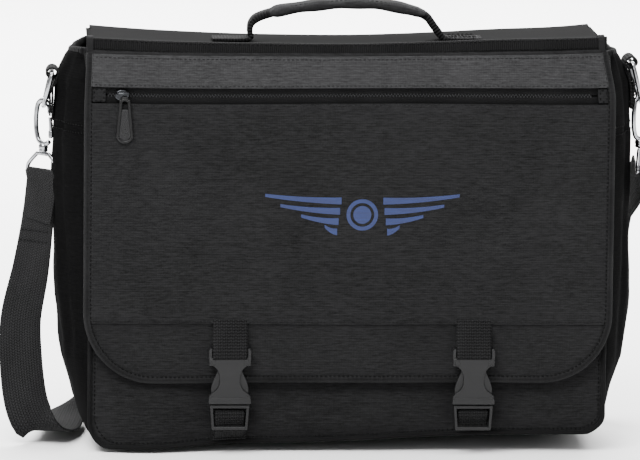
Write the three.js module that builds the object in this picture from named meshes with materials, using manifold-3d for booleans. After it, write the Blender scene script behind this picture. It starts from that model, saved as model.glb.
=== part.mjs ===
// Flight bag: a soft messenger briefcase with a front flap, a top handle, two side-release
// buckles and a shoulder strap on snap hooks. Millimetres, +X to the wearer's right as the
// front is looked at, front facing -Y, +Z up, origin under the middle of the bottom panel.
import * as THREE from 'three';
import { mergeVertices } from 'three/addons/utils/BufferGeometryUtils.js';
import Module from 'manifold-3d';

const wasm = await Module();
wasm.setup();

// ---- driving dimensions ----
const GAP = 0.3;
const BODY_HALF_WIDTH = 187;
const BODY_DEPTH = 112;
const BODY_TOP = 284;
const PANEL_THICKNESS = 4;
const CORNER_RADIUS = 18;
const GUSSET_BULGE = 19;
const GUSSET_THICKNESS = 2.4;
const DIVIDER_Y = 9;

const FLAP_HALF_WIDTH = 191;
const FLAP_BOTTOM = 47.5;
const FLAP_CORNER_RADIUS = 50;
const FOLD_Z = 285.8;
const FLAP_INNER_Y = -58.6;
const FLAP_OUTER_Y = -64.4;
const STORM_FOLD_Z = 261;
const POCKET_TOP = 249.7;
const POCKET_SEAM_Z = 92;
const BINDING_WIDTH = 5;
const LINING_THICKNESS = 1;
const NOTCH_HALF_WIDTH = 16;
const NOTCH_TOP = 61;

const BUCKLE_X = 88;
const WEBBING_WIDTH = 25;
const WEBBING_THICKNESS = 1.6;
const SOCKET_FACE_Y = -73;
const SOCKET_BOTTOM = 33;
const SOCKET_TOP = 73;
const INSERT_BOTTOM = 13.7;
const INSERT_TOP = 32;

const HANDLE_AXIS_Z = 297;
const HANDLE_WIDTH = 25;
const GRIP_HALF_LENGTH = 56;
const GRIP_THICKNESS = 7;
const HANDLE_FOOT_X = 68;

const RING_X = 220;
const RING_ROD = 3.3;
const RING_HALF_WIDTH = 19;
const HOOK_ROD = 3.6;
const STRAP_WIDTH = 32;
const STRAP_THICKNESS = 2;

const BACK_Y = BODY_DEPTH / 2;
const FRONT_Y = -BODY_DEPTH / 2;
const FABRIC = [0x1c1c1e, 0.92, 0];
const LINING = [0x141416, 0.9, 0];
const WEBBING = [0x17171a, 0.85, 0];
const PLASTIC = [0x2a2b2e, 0.5, 0];
const CHROME = [0xc9ccd0, 0.18, 1];
const GUNMETAL = [0x54565a, 0.3, 1];

const group = new THREE.Group();

// ---- helpers ----
function add(name, geometry, [color, roughness, metalness]) {
  const material = new THREE.MeshStandardMaterial({ color, roughness, metalness });
  const mesh = new THREE.Mesh(geometry, material);
  mesh.name = name;
  group.add(mesh);
}

function solidOf(geometry) {
  const bare = geometry.index ? geometry.clone() : geometry;
  bare.deleteAttribute('normal');
  bare.deleteAttribute('uv');
  const merged = mergeVertices(bare, 1e-4);
  return new wasm.Manifold(new wasm.Mesh({
    numProp: 3,
    vertProperties: new Float32Array(merged.attributes.position.array),
    triVerts: new Uint32Array(merged.index.array),
  }));
}

function geometryOf(solid) {
  const mesh = solid.getMesh();
  const geometry = new THREE.BufferGeometry();
  geometry.setAttribute('position', new THREE.BufferAttribute(mesh.vertProperties, 3));
  geometry.setIndex(new THREE.BufferAttribute(mesh.triVerts, 1));
  geometry.computeVertexNormals();
  return geometry;
}

function join(...parts) {
  return geometryOf(parts.map(solidOf).reduce((whole, part) => whole.add(part)));
}

function cut(base, ...tools) {
  return geometryOf(tools.map(solidOf).reduce((whole, tool) => whole.subtract(tool), solidOf(base)));
}

function common(a, b) {
  return geometryOf(solidOf(a).intersect(solidOf(b)));
}

function box(x0, x1, y0, y1, z0, z1) {
  return new THREE.BoxGeometry(x1 - x0, y1 - y0, z1 - z0)
    .translate((x0 + x1) / 2, (y0 + y1) / 2, (z0 + z1) / 2);
}

function extrude(shape, depth) {
  return new THREE.ExtrudeGeometry(shape, { depth, bevelEnabled: false, curveSegments: 6 });
}

// A shape drawn in X and Z, as thick as y0 to y1.
function slabY(shape, y0, y1) {
  return extrude(shape, y1 - y0).rotateX(Math.PI / 2).translate(0, y1, 0);
}

// A shape drawn in Y and Z, as long as x0 to x1.
function slabX(shape, x0, x1) {
  const basis = new THREE.Matrix4().makeBasis(
    new THREE.Vector3(0, 1, 0), new THREE.Vector3(0, 0, 1), new THREE.Vector3(1, 0, 0));
  return extrude(shape, x1 - x0).applyMatrix4(basis).translate(x0, 0, 0);
}

function slabZ(shape, z0, z1) {
  return extrude(shape, z1 - z0).translate(0, 0, z0);
}

function outline(points) {
  return new THREE.Shape(points.map(([u, v]) => new THREE.Vector2(u, v)));
}

// The closed outline of a strip of even thickness that follows an open line of points.
function strip(points, thickness) {
  const line = points.map(([u, v]) => new THREE.Vector2(u, v));
  const sides = [[], []];
  line.forEach((point, i) => {
    const before = point.clone().sub(line[Math.max(i - 1, 0)]).normalize();
    const after = line[Math.min(i + 1, line.length - 1)].clone().sub(point).normalize();
    const along = before.clone().add(after).normalize();
    const normal = new THREE.Vector2(-along.y, along.x);
    const lone = i === 0 || i === line.length - 1;
    const stretch = lone ? 1 : 1 / Math.max(0.5, normal.dot(new THREE.Vector2(-after.y, after.x)));
    const half = normal.multiplyScalar(thickness / 2 * stretch);
    sides[0].push(point.clone().sub(half));
    sides[1].push(point.clone().add(half));
  });
  return new THREE.Shape([...sides[0], ...sides[1].reverse()]);
}

function rod(curve, radius, steps, sides) {
  const section = new THREE.Shape();
  section.absarc(0, 0, radius, 0, 2 * Math.PI, false);
  return new THREE.ExtrudeGeometry(section, {
    steps, curveSegments: sides, bevelEnabled: false, extrudePath: curve,
  });
}

// A flat band lofted through stations of centre and width direction.
function band(stations, width, thickness, steps) {
  const centres = new THREE.CatmullRomCurve3(stations.map((s) => new THREE.Vector3(...s.at)));
  const widths = new THREE.CatmullRomCurve3(stations.map((s) => new THREE.Vector3(...s.across)));
  const position = [];
  const index = [];
  for (let i = 0; i <= steps; i += 1) {
    const centre = centres.getPoint(i / steps);
    const along = centres.getTangent(i / steps);
    const across = widths.getPoint(i / steps);
    across.addScaledVector(along, -across.dot(along)).normalize();
    const face = new THREE.Vector3().crossVectors(along, across);
    [[-1, -1], [1, -1], [1, 1], [-1, 1]].forEach(([u, v]) => {
      const corner = centre.clone().addScaledVector(across, u * width / 2);
      position.push(...corner.addScaledVector(face, v * thickness / 2).toArray());
    });
  }
  for (let i = 0; i < steps; i += 1) {
    for (let k = 0; k < 4; k += 1) {
      const a = 4 * i + k;
      const b = 4 * i + (k + 1) % 4;
      index.push(a, b, b + 4, a, b + 4, a + 4);
    }
  }
  const end = 4 * steps;
  index.push(0, 2, 1, 0, 3, 2, end, end + 1, end + 2, end, end + 2, end + 3);
  const geometry = new THREE.BufferGeometry();
  geometry.setAttribute('position', new THREE.Float32BufferAttribute(position, 3));
  geometry.setIndex(index);
  geometry.computeVertexNormals();
  return geometry;
}

// A front or back outline: square at the top, round at the two lower corners, with an
// optional notch in the lower edge behind each buckle.
function roundBottom(halfWidth, bottom, top, radius, notch) {
  const shape = new THREE.Shape();
  shape.moveTo(-halfWidth, top);
  shape.lineTo(-halfWidth, bottom + radius);
  shape.absarc(-halfWidth + radius, bottom + radius, radius, Math.PI, 1.5 * Math.PI, false);
  if (notch) {
    [-BUCKLE_X, BUCKLE_X].forEach((x) => {
      shape.lineTo(x - notch.half, bottom);
      shape.lineTo(x - notch.half, notch.top);
      shape.lineTo(x + notch.half, notch.top);
      shape.lineTo(x + notch.half, bottom);
    });
  }
  shape.absarc(halfWidth - radius, bottom + radius, radius, 1.5 * Math.PI, 2 * Math.PI, false);
  shape.lineTo(halfWidth, top);
  return shape;
}

// ---- bag body ----
function bodyPanels() {
  const panel = () => roundBottom(BODY_HALF_WIDTH - GAP, 0.6, BODY_TOP, CORNER_RADIUS);
  const frontTop = roundBottom(BODY_HALF_WIDTH - GAP, 0.6, STORM_FOLD_Z, CORNER_RADIUS);
  add('front_panel', slabY(frontTop, FRONT_Y, FRONT_Y + PANEL_THICKNESS), FABRIC);
  add('back_panel', slabY(panel(), BACK_Y - PANEL_THICKNESS, BACK_Y), FABRIC);
  const inner = BACK_Y - PANEL_THICKNESS - GAP;
  add('bottom_panel', box(-168, 168, -inner, inner, 0, 3), FABRIC);
  add('base_board', box(-165, 165, -inner + 2, inner - 2, 3 + GAP, 5.3), LINING);
}

function gusset(side) {
  const edge = BODY_HALF_WIDTH + GUSSET_THICKNESS / 2;
  const reach = BACK_Y - 2;
  const section = [];
  for (let i = 0; i <= 10; i += 1) {
    const t = -1 + i / 5;
    section.push([side * (edge + GUSSET_BULGE * Math.cos(t * Math.PI / 2) ** 1.2), t * reach]);
  }
  const ordered = side > 0 ? section : section.reverse();
  return slabZ(strip(ordered, GUSSET_THICKNESS), CORNER_RADIUS, BODY_TOP - 4);
}

// The gusset turns under the bag in a quarter round at each lower corner.
function cornerTurn(side) {
  const centre = BODY_HALF_WIDTH - CORNER_RADIUS;
  const points = [];
  for (let i = 0; i <= 5; i += 1) {
    const angle = i / 5 * Math.PI / 2;
    const radius = CORNER_RADIUS - 1.5;
    points.push([side * (centre + radius * Math.cos(angle)), CORNER_RADIUS - radius * Math.sin(angle)]);
  }
  const ordered = side > 0 ? points.reverse() : points;
  const reach = BACK_Y - PANEL_THICKNESS - GAP;
  return slabY(strip(ordered, GUSSET_THICKNESS), -reach, reach);
}

function gussets() {
  [['left', -1], ['right', 1]].forEach(([name, side]) => {
    add(`${name}_gusset`, gusset(side), FABRIC);
    add(`${name}_corner`, cornerTurn(side), FABRIC);
  });
}

function insideFittings() {
  add('center_divider', box(-178, 178, DIVIDER_Y - 1, DIVIDER_Y + 1, 12, 235), LINING);
  const back = DIVIDER_Y - 1 - GAP;
  const front = back - 7.5;
  const walls = [-150, -50, 50, 148.5].map((x) => box(x, x + 1.5, front, back, 40, 170));
  const sheet = box(-150, 150, front, front + 1.5, 40, 170);
  const floor = box(-150, 150, front, back, 40, 41.5);
  add('organizer_pocket', join(sheet, floor, ...walls), LINING);
}

function piping() {
  const x = BODY_HALF_WIDTH - 2.5;
  const bottom = 3;
  const radius = CORNER_RADIUS - 2;
  [['front_piping', FRONT_Y - GAP - 1.8, FRONT_Y - GAP], ['back_piping', BACK_Y + GAP, BACK_Y + 2.1]]
    .forEach(([name, y0, y1]) => {
      const outer = slabY(roundBottom(x + 1.5, bottom - 1.5, BODY_TOP - 30, radius + 1.5), y0, y1);
      const inner = slabY(
        roundBottom(x - 1.5, bottom + 1.5, BODY_TOP, radius - 1.5), y0 - 1, y1 + 1);
      add(name, cut(outer, inner), FABRIC);
    });
}

// ---- flap ----
function flapTop() {
  add('flap_top_panel', box(-FLAP_HALF_WIDTH, FLAP_HALF_WIDTH, -57, BACK_Y, 287.6, 292.6), FABRIC);
  add('flap_front_band', box(-FLAP_HALF_WIDTH, FLAP_HALF_WIDTH, -61.5, -57 - GAP, 286.6, 294), WEBBING);
  [['left', -1], ['right', 1]].forEach(([name, side]) => {
    const ends = [side * HANDLE_FOOT_X, side * (HANDLE_FOOT_X + 30)].sort((a, b) => a - b);
    const half = HANDLE_WIDTH / 2;
    add(`${name}_handle_foot`, box(ends[0], ends[1], -half, half, 292.6 + GAP, 295.4), WEBBING);
  });
}

function flapOutline(inset, top) {
  return roundBottom(FLAP_HALF_WIDTH - inset, FLAP_BOTTOM + inset, top, FLAP_CORNER_RADIUS - inset,
    { half: NOTCH_HALF_WIDTH + inset, top: NOTCH_TOP + inset });
}

function flapFront() {
  const inset = BINDING_WIDTH + GAP;
  const top = FOLD_Z - 0.8;
  const wide = FLAP_HALF_WIDTH - inset;
  const rim = slabY(flapOutline(0, top), FLAP_OUTER_Y, FLAP_INNER_Y);
  const inside = slabY(flapOutline(BINDING_WIDTH, top + 5), FLAP_OUTER_Y - 1, FLAP_INNER_Y + 1);
  add('flap_binding', cut(rim, inside), WEBBING);
  add('flap_lining', slabY(flapOutline(inset, top), FLAP_INNER_Y - LINING_THICKNESS, FLAP_INNER_Y), LINING);
  add('flap_upper_panel', box(-wide, wide, -64, -62, STORM_FOLD_Z, top), FABRIC);
  const face = (low, high, y0) => common(
    slabY(flapOutline(inset, top), y0, y0 + 2), box(-wide - 1, wide + 1, y0, y0 + 2, low, high));
  add('flap_pocket_panel', face(POCKET_SEAM_Z + GAP, POCKET_TOP, -64), FABRIC);
  add('flap_lower_panel', face(0, POCKET_SEAM_Z, -63.4), FABRIC);
}

function zip() {
  const wide = FLAP_HALF_WIDTH - BINDING_WIDTH - GAP;
  const end = wide - 7;
  const coilZ = 255.4;
  add('zip_tape_upper', box(-end, end, -61.2, -60.2, coilZ + 2.3, STORM_FOLD_Z + 6), WEBBING);
  add('zip_tape_lower', box(-end, end, -61.2, -60.2, POCKET_TOP - 6, coilZ - 2.3), WEBBING);
  add('zip_coil', box(-end, end, -61.8, -60.2, coilZ - 2, coilZ + 2), PLASTIC);
  add('left_zip_end', box(-wide, -end - GAP, -63.4, -60.2, POCKET_TOP + 0.6, STORM_FOLD_Z - 0.6), FABRIC);
  add('right_zip_end', box(end + GAP, wide, -63.4, -60.2, POCKET_TOP + 0.6, STORM_FOLD_Z - 0.6), FABRIC);
  const sliderX = -164;
  const slab = box(sliderX - 5, sliderX + 5, -64.8, -62.1, coilZ - 4, coilZ + 4);
  const bridge = box(sliderX - 1.2, sliderX + 5, -66.4, -64.6, coilZ + 0.4, coilZ + 3.4);
  add('zip_slider', join(slab, bridge), GUNMETAL);
  const pullOutline = (half, low, high) => {
    const shape = new THREE.Shape();
    shape.absarc(sliderX + 2, low + half, half, Math.PI, 2 * Math.PI, false);
    shape.absarc(sliderX + 2, high - half * 0.7, half * 0.7, 0, Math.PI, false);
    return shape;
  };
  add('zip_pull', slabY(pullOutline(6, 221, 254.2), -68.3, -65.9), PLASTIC);
}

// ---- handle ----
function handle() {
  const arch = (x) => 316.5 - 7.5 * (x / GRIP_HALF_LENGTH) ** 2;
  const line = [];
  for (let i = -6; i <= 6; i += 1) {
    const x = i / 6 * GRIP_HALF_LENGTH;
    line.push([x, arch(x)]);
  }
  const foot = [HANDLE_FOOT_X, HANDLE_AXIS_Z + 0.6];
  const bend = [HANDLE_FOOT_X - 3, HANDLE_AXIS_Z + 7];
  const ends = (side) => [[side * foot[0], foot[1]], [side * bend[0], bend[1]]];
  const route = [...ends(-1), ...line, ...ends(1).reverse()];
  const half = HANDLE_WIDTH / 2 - 1.5;
  const webbing = (width, thick) => slabY(strip(route, thick), -width, width);
  // Below the grip the webbing narrows, so that it can lean over without meeting its feet.
  const lean = outline([[-1.6, 296.4], [1.6, 296.4], [26, 318.4], [26, 330], [-26, 330], [-26, 318.4]]);
  add('handle_webbing', common(webbing(half, 2), slabX(lean, -90, 90)), WEBBING);
  const grip = slabY(strip(line, GRIP_THICKNESS), -HANDLE_WIDTH / 2, HANDLE_WIDTH / 2);
  add('handle_grip', cut(grip, webbing(half + GAP, 2 + 2 * GAP)), FABRIC);
}

// ---- buckles ----
function socket(x) {
  const half = 15;
  const plate = outline([
    [-half, SOCKET_BOTTOM], [half, SOCKET_BOTTOM], [half, 38.5], [9, 43], [7.3, 50], [9, 57],
    [half, 62], [half, 66], [-half, 66], [-half, 62], [-9, 57], [-7.3, 50], [-9, 43], [-half, 38.5],
  ]);
  const parts = [
    slabY(plate, SOCKET_FACE_Y, -70.6),
    box(-half, half, -71, -65.4, 60.5, 66),
    box(-half, half, -69, -66.6, 69.2, 72.2),
  ];
  [-1, 1].forEach((side) => {
    const rail = [side * 13.9, side * half].sort((a, b) => a - b);
    parts.push(box(...rail, -71, -65.4, SOCKET_BOTTOM, 39));
    const ear = [side * 12.9, side * half].sort((a, b) => a - b);
    parts.push(box(...ear, -72, -65.8, 65, SOCKET_TOP));
  });
  return join(...parts).translate(x, 0, 0);
}

function insertBase(x) {
  const frame = outline([
    [-12.8, INSERT_BOTTOM], [12.8, INSERT_BOTTOM], [14, INSERT_TOP], [-14, INSERT_TOP]]);
  const slot = box(-10.6, 10.6, -80, -60, 16.4, 27.5);
  const guide = box(-1.5, 1.5, -70, -66.4, INSERT_TOP - 1, 48);
  return join(cut(slabY(frame, -71.6, -66), slot), guide).translate(x, 0, 0);
}

function prong(x, side) {
  const points = [
    [6.6, 32.7], [10.6, 32.7], [11, 39.8], [13.4, 40.2], [13.5, 44], [11.6, 50.5], [8.4, 57],
    [6.4, 57], [7.6, 46], [6.8, 38],
  ].map(([u, v]) => [side * u, v]);
  const ordered = side > 0 ? points : points.reverse();
  return slabY(outline(ordered), -70.2, -66.4).translate(x, 0, 0);
}

function buckles() {
  [['left', -1], ['right', 1]].forEach(([name, side]) => {
    const x = side * BUCKLE_X;
    const half = WEBBING_WIDTH / 2;
    add(`${name}_buckle_socket`, socket(x), PLASTIC);
    add(`${name}_buckle_insert`, insertBase(x), PLASTIC);
    add(`${name}_buckle_prong_a`, prong(x, -1), PLASTIC);
    add(`${name}_buckle_prong_b`, prong(x, 1), PLASTIC);
    const upper = strip([[-65.4, 94], [-67.4, 84], [-71.2, 75], [-71.2, 66.4]], WEBBING_THICKNESS);
    add(`${name}_upper_strap`, slabX(upper, x - half, x + half), WEBBING);
    const lower = strip([[-59.6, 3], [-60.2, 8], [-64.8, 14], [-64.8, 30]], WEBBING_THICKNESS);
    add(`${name}_lower_strap`, slabX(lower, x - half, x + half), WEBBING);
  });
}

// ---- rings, hooks and the shoulder strap ----
const ringSides = [
  { name: 'left', side: -1, barZ: 263, turn: -0.8, loopTurn: -0.9, hookY: 0 },
  { name: 'right', side: 1, barZ: 268, turn: 0.82, loopTurn: 1.4, hookY: 0 },
];

function ringTab({ side, barZ }) {
  const loop = new THREE.Shape();
  loop.absarc(0, 0, 4.6, 0, 2 * Math.PI, false);
  const eye = new THREE.Shape();
  eye.absarc(0, 0, 2.4, 0, 2 * Math.PI, false);
  const tail = outline([[-9.4, -13], [-6, -13], [-1.5, 0], [-4.6, 0]]);
  const placed = (shape, half) => slabY(shape, -half, half);
  const solid = geometryOf(
    solidOf(placed(loop, 12.5)).add(solidOf(placed(tail, 12.5))).subtract(solidOf(placed(eye, 20))));
  if (side < 0) solid.rotateZ(Math.PI);
  return solid.translate(side * RING_X, 0, barZ);
}

function dRing({ side, barZ }) {
  const bow = [];
  for (let i = 0; i <= 16; i += 1) {
    const angle = Math.PI * (i / 16);
    bow.push(new THREE.Vector3(0, RING_HALF_WIDTH * Math.cos(angle), -2 - 21 * Math.sin(angle) ** 0.8));
  }
  bow.unshift(new THREE.Vector3(0, RING_HALF_WIDTH, 0));
  bow.push(new THREE.Vector3(0, -RING_HALF_WIDTH, 0));
  const radius = RING_ROD / 2;
  const curve = new THREE.CatmullRomCurve3(bow);
  const bar = new THREE.CylinderGeometry(radius, radius, 2 * RING_HALF_WIDTH + 2 * radius, 8);
  return join(rod(curve, radius, 26, 4), bar).translate(side * RING_X, 0, barZ);
}

// Hook parts are drawn in a plane: u across, z up from the top of the bow.
function hookPlace(geometry, { side, barZ, hookY }, turn) {
  return geometry.rotateZ(turn).translate(side * RING_X, hookY, barZ - 18.5);
}

const HOOK_DROP = 36;
const GATE_FOOT = [7.4, -27];

function hookBody(place) {
  const points = [
    [6.6, -8.5], [5, -3], [0, 0], [-5.2, -3], [-7.4, -11], [-7.4, -22], [-5, -29.5], [0, -32], [4.6, -31.6],
  ].map(([u, v]) => new THREE.Vector3(u, 0, v));
  const bow = rod(new THREE.CatmullRomCurve3(points), HOOK_ROD / 2, 24, 4);
  const barrel = new THREE.CylinderGeometry(3.4, 3.4, 6, 10).rotateX(Math.PI / 2).translate(0, 0, -35);
  return hookPlace(join(bow, barrel), place, place.turn);
}

function hookGate(place) {
  const line = [[GATE_FOOT[0], GATE_FOOT[1]], [7.6, -18], [6.7, -11.4]];
  const bar = slabY(strip(line, 2.4), -1.3, 1.3);
  const knob = new THREE.CylinderGeometry(2.1, 2.1, 5, 8).translate(GATE_FOOT[0] + 0.6, 0, GATE_FOOT[1] + 3);
  return hookPlace(join(bar, knob), place, place.turn);
}

function hookLoop(place) {
  const half = STRAP_WIDTH / 2;
  const frame = outline([
    [-half - 3, -17], [half + 3, -17], [half + 1.5, -9], [7, 0], [-7, 0], [-half - 1.5, -9]]);
  const hole = outline([
    [-half - 0.5, -14.4], [half + 0.5, -14.4], [half - 1, -9.6], [5, -2.6], [-5, -2.6], [-half + 1, -9.6]]);
  frame.holes.push(hole);
  return hookPlace(slabY(frame, -1.4, 1.4).translate(0, 0, -HOOK_DROP - 2 - GAP), place, place.loopTurn);
}

function hooks() {
  ringSides.forEach((place) => {
    add(`${place.name}_ring_tab`, ringTab(place), WEBBING);
    add(`${place.name}_d_ring`, dRing(place), CHROME);
    add(`${place.name}_hook_body`, hookBody(place), CHROME);
    add(`${place.name}_hook_gate`, hookGate(place), CHROME);
    add(`${place.name}_hook_loop`, hookLoop(place), CHROME);
  });
}

const strapRoute = [
  { at: [-221, 0, 187.4], across: [0.66, -0.75, 0] },
  { at: [-224, 0, 156], across: [0.7, -0.71, 0] },
  { at: [-229, 1, 120], across: [0.82, -0.57, 0] },
  { at: [-236, 1, 84], across: [0.92, -0.38, 0] },
  { at: [-236, -8, 56], across: [0.96, -0.26, 0] },
  { at: [-233, -20, 30], across: [0.97, -0.2, 0] },
  { at: [-228, -27, 15], across: [0.98, -0.18, 0] },
  { at: [-222, -28, 8.6], across: [0.98, -0.18, 0] },
  { at: [-216, -20, 4.8], across: [0.98, -0.18, 0] },
  { at: [-211, -6, 2.8], across: [0.98, -0.2, 0] },
  { at: [-207, 20, 1.7], across: [0.97, -0.24, 0] },
  { at: [-203, 60, 3], across: [0.96, -0.2, 0.1] },
  { at: [-194, 86, 12], across: [0.6, -0.3, 0.7] },
  { at: [-166, 98, 16.5], across: [0, 0, 1] },
  { at: [-110, 92, 16.5], across: [0, 0, 1] },
  { at: [-50, 86, 15], across: [0, -0.3, 0.9] },
  { at: [10, 84, 8], across: [0, -0.95, 0.3] },
  { at: [60, 84, 3.9], across: [0, -1, 0] },
  { at: [110, 84, 3.9], across: [0, -1, 0] },
  { at: [160, 85, 4.4], across: [0, -1, 0] },
  { at: [190, 84, 20], across: [0, -1, 0] },
  { at: [203, 78, 60], across: [0, -1, 0.1] },
  { at: [212, 58, 110], across: [0.05, -1, 0.05] },
  { at: [217, 26, 160], across: [0.1, -1, 0.05] },
  { at: [217, 4, 192.4], across: [0.12, -0.99, 0] },
];

function shoulderStrap() {
  add('shoulder_strap', band(strapRoute, STRAP_WIDTH, STRAP_THICKNESS, 66), WEBBING);
  const frame = box(88, 110, 62.6, 106, 0.4, 8.2);
  const slot = box(80, 120, 66.2, 102.4, 1.8, 6.2);
  add('strap_adjuster', cut(frame, slot), PLASTIC);
}

bodyPanels();
gussets();
insideFittings();
piping();
flapTop();
flapFront();
zip();
handle();
buckles();
hooks();
shoulderStrap();

export default group;
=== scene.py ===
"""Looks for the flight bag: fabric, webbing, zip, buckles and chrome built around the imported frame."""
import math

import bmesh
import bpy
import numpy as np
from mathutils import Quaternion, Matrix, Vector, noise


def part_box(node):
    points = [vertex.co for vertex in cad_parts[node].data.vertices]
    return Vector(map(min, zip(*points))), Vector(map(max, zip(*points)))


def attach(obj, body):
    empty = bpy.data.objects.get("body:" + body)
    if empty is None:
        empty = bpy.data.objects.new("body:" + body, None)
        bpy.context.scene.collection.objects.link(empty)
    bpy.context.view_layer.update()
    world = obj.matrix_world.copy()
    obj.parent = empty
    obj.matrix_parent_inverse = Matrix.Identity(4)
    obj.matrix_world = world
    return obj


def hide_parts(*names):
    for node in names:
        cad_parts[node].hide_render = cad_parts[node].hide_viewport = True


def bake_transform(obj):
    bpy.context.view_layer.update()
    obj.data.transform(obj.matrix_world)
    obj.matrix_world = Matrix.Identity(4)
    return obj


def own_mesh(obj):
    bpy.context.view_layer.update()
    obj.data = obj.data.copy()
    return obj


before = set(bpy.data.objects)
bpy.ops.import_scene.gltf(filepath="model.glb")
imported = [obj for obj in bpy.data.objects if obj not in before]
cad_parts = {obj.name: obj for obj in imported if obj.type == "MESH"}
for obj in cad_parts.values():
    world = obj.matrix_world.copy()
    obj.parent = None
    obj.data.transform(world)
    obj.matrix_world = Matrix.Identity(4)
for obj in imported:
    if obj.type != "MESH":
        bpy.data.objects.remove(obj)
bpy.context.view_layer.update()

MM = 0.001
THREAD = "thread"
CORNER_STEPS = 5
WEBBING_WIDTH = 25 * MM
STRAP_WIDTH = 32 * MM
# The floor lies a little below the bag's lowest point.
FLOOR_Z = -4.6 * MM


def span(*nodes):
    """The lowest and highest corners of one or more CAD nodes, in metres."""
    boxes = [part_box(node) for node in nodes]
    low = [min(b[0][k] for b in boxes) for k in range(3)]
    high = [max(b[1][k] for b in boxes) for k in range(3)]
    return Vector(low), Vector(high)


# ---------------------------------------------------------------- materials

class Nodes:
    """Short calls for building one procedural material."""

    def __init__(self, name, rough=0.9, metal=0.0):
        self.material = bpy.data.materials.new(name)
        self.material.use_nodes = True
        self.tree = self.material.node_tree
        self.shader = self.tree.nodes["Principled BSDF"]
        self.set("Roughness", rough)
        self.set("Metallic", metal)

    def set(self, socket, value):
        self.shader.inputs[socket].default_value = value

    def node(self, kind, **values):
        made = self.tree.nodes.new(kind)
        for key, value in values.items():
            setattr(made, key, value)
        return made

    def link(self, out, into):
        self.tree.links.new(out, into)

    def math(self, operation, a, b=0.0):
        made = self.node("ShaderNodeMath", operation=operation)
        for socket, value in zip(made.inputs, (a, b)):
            if hasattr(value, "is_linked"):
                self.link(value, socket)
            else:
                socket.default_value = value
        return made.outputs[0]

    def dot(self, vector, axis):
        made = self.node("ShaderNodeVectorMath", operation="DOT_PRODUCT")
        self.link(vector, made.inputs[0])
        made.inputs[1].default_value = axis
        return made.outputs["Value"]

    def place(self, uv=False):
        if uv:
            return self.node("ShaderNodeUVMap", uv_map=THREAD).outputs["UV"]
        return self.node("ShaderNodeTexCoord").outputs["Object"]

    def noise(self, vector, scale, stretch=(1, 1, 1), detail=3.0, rough=0.5):
        mapping = self.node("ShaderNodeMapping")
        mapping.inputs["Scale"].default_value = stretch
        self.link(vector, mapping.inputs["Vector"])
        made = self.node("ShaderNodeTexNoise")
        made.inputs["Scale"].default_value = scale
        made.inputs["Detail"].default_value = detail
        made.inputs["Roughness"].default_value = rough
        self.link(mapping.outputs["Vector"], made.inputs["Vector"])
        return made.outputs["Fac"]

    def ramp(self, value, stops):
        made = self.node("ShaderNodeValToRGB")
        ramp = made.color_ramp
        while len(ramp.elements) < len(stops):
            ramp.elements.new(0.5)
        for element, (position, color) in zip(ramp.elements, stops):
            element.position = position
            element.color = (*color, 1)
        self.link(value, made.inputs["Fac"])
        return made.outputs["Color"]

    def color(self, out):
        self.link(out, self.shader.inputs["Base Color"])

    def roughness(self, value, low, high):
        made = self.node("ShaderNodeMapRange")
        made.inputs["To Min"].default_value = low
        made.inputs["To Max"].default_value = high
        self.link(value, made.inputs["Value"])
        self.link(made.outputs["Result"], self.shader.inputs["Roughness"])

    def bump(self, height, distance, strength=1.0):
        made = self.node("ShaderNodeBump")
        made.inputs["Distance"].default_value = distance
        made.inputs["Strength"].default_value = strength
        self.link(height, made.inputs["Height"])
        self.link(made.outputs["Normal"], self.shader.inputs["Normal"])


def grey(level, tint=1.0):
    return (level, level, level * tint)


def woven(name, level, across=(1, 1, 0), up=(0, 0, 1), pitch=1.7 * MM, contrast=0.5, sheen=0.05):
    """Plain-woven polyester: a checker of threads with long horizontal slubs and dusty sheen."""
    n = Nodes(name, rough=0.88)
    n.set("Sheen Weight", sheen)
    n.set("Sheen Roughness", 0.55)
    n.set("IOR", 1.06)
    place = n.place()
    turn = 2 * math.pi / pitch
    warp = n.math("SINE", n.math("MULTIPLY", n.dot(place, across), turn))
    weft = n.math("SINE", n.math("MULTIPLY", n.dot(place, up), turn))
    checker = n.math("MULTIPLY", warp, weft)
    slub_stretch = (0.2, 0.2, 1) if up[2] else (0.2, 1, 1)
    slub = n.noise(place, 700, slub_stretch, detail=2.0)
    cloud = n.noise(place, 22, (1, 1, 1), detail=4.0)
    grain = n.noise(place, 800, (1, 1, 1), detail=1.0)
    tone = n.math("ADD", n.math("MULTIPLY", slub, 0.5), n.math("MULTIPLY", grain, 0.3))
    tone = n.math("ADD", tone, n.math("MULTIPLY", cloud, 0.2))
    tone = n.math("ADD", tone, n.math("MULTIPLY", checker, 0.03))
    tone = n.math("ADD", tone, n.math("MULTIPLY", weft, 0.032))
    tone = n.math("ADD", tone, n.math("MULTIPLY", warp, 0.02))
    low, high = level * (1 - contrast), level * (1 + contrast)
    n.color(n.ramp(tone, [(0.3, grey(low, 1.02)), (0.7, grey(high, 1.03))]))
    n.roughness(slub, 0.78, 0.95)
    height = n.math("ADD", n.math("MULTIPLY", weft, 0.25), n.math("MULTIPLY", slub, 0.8))
    n.bump(height, 0.16 * MM, 0.75)
    return n.material


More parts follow.
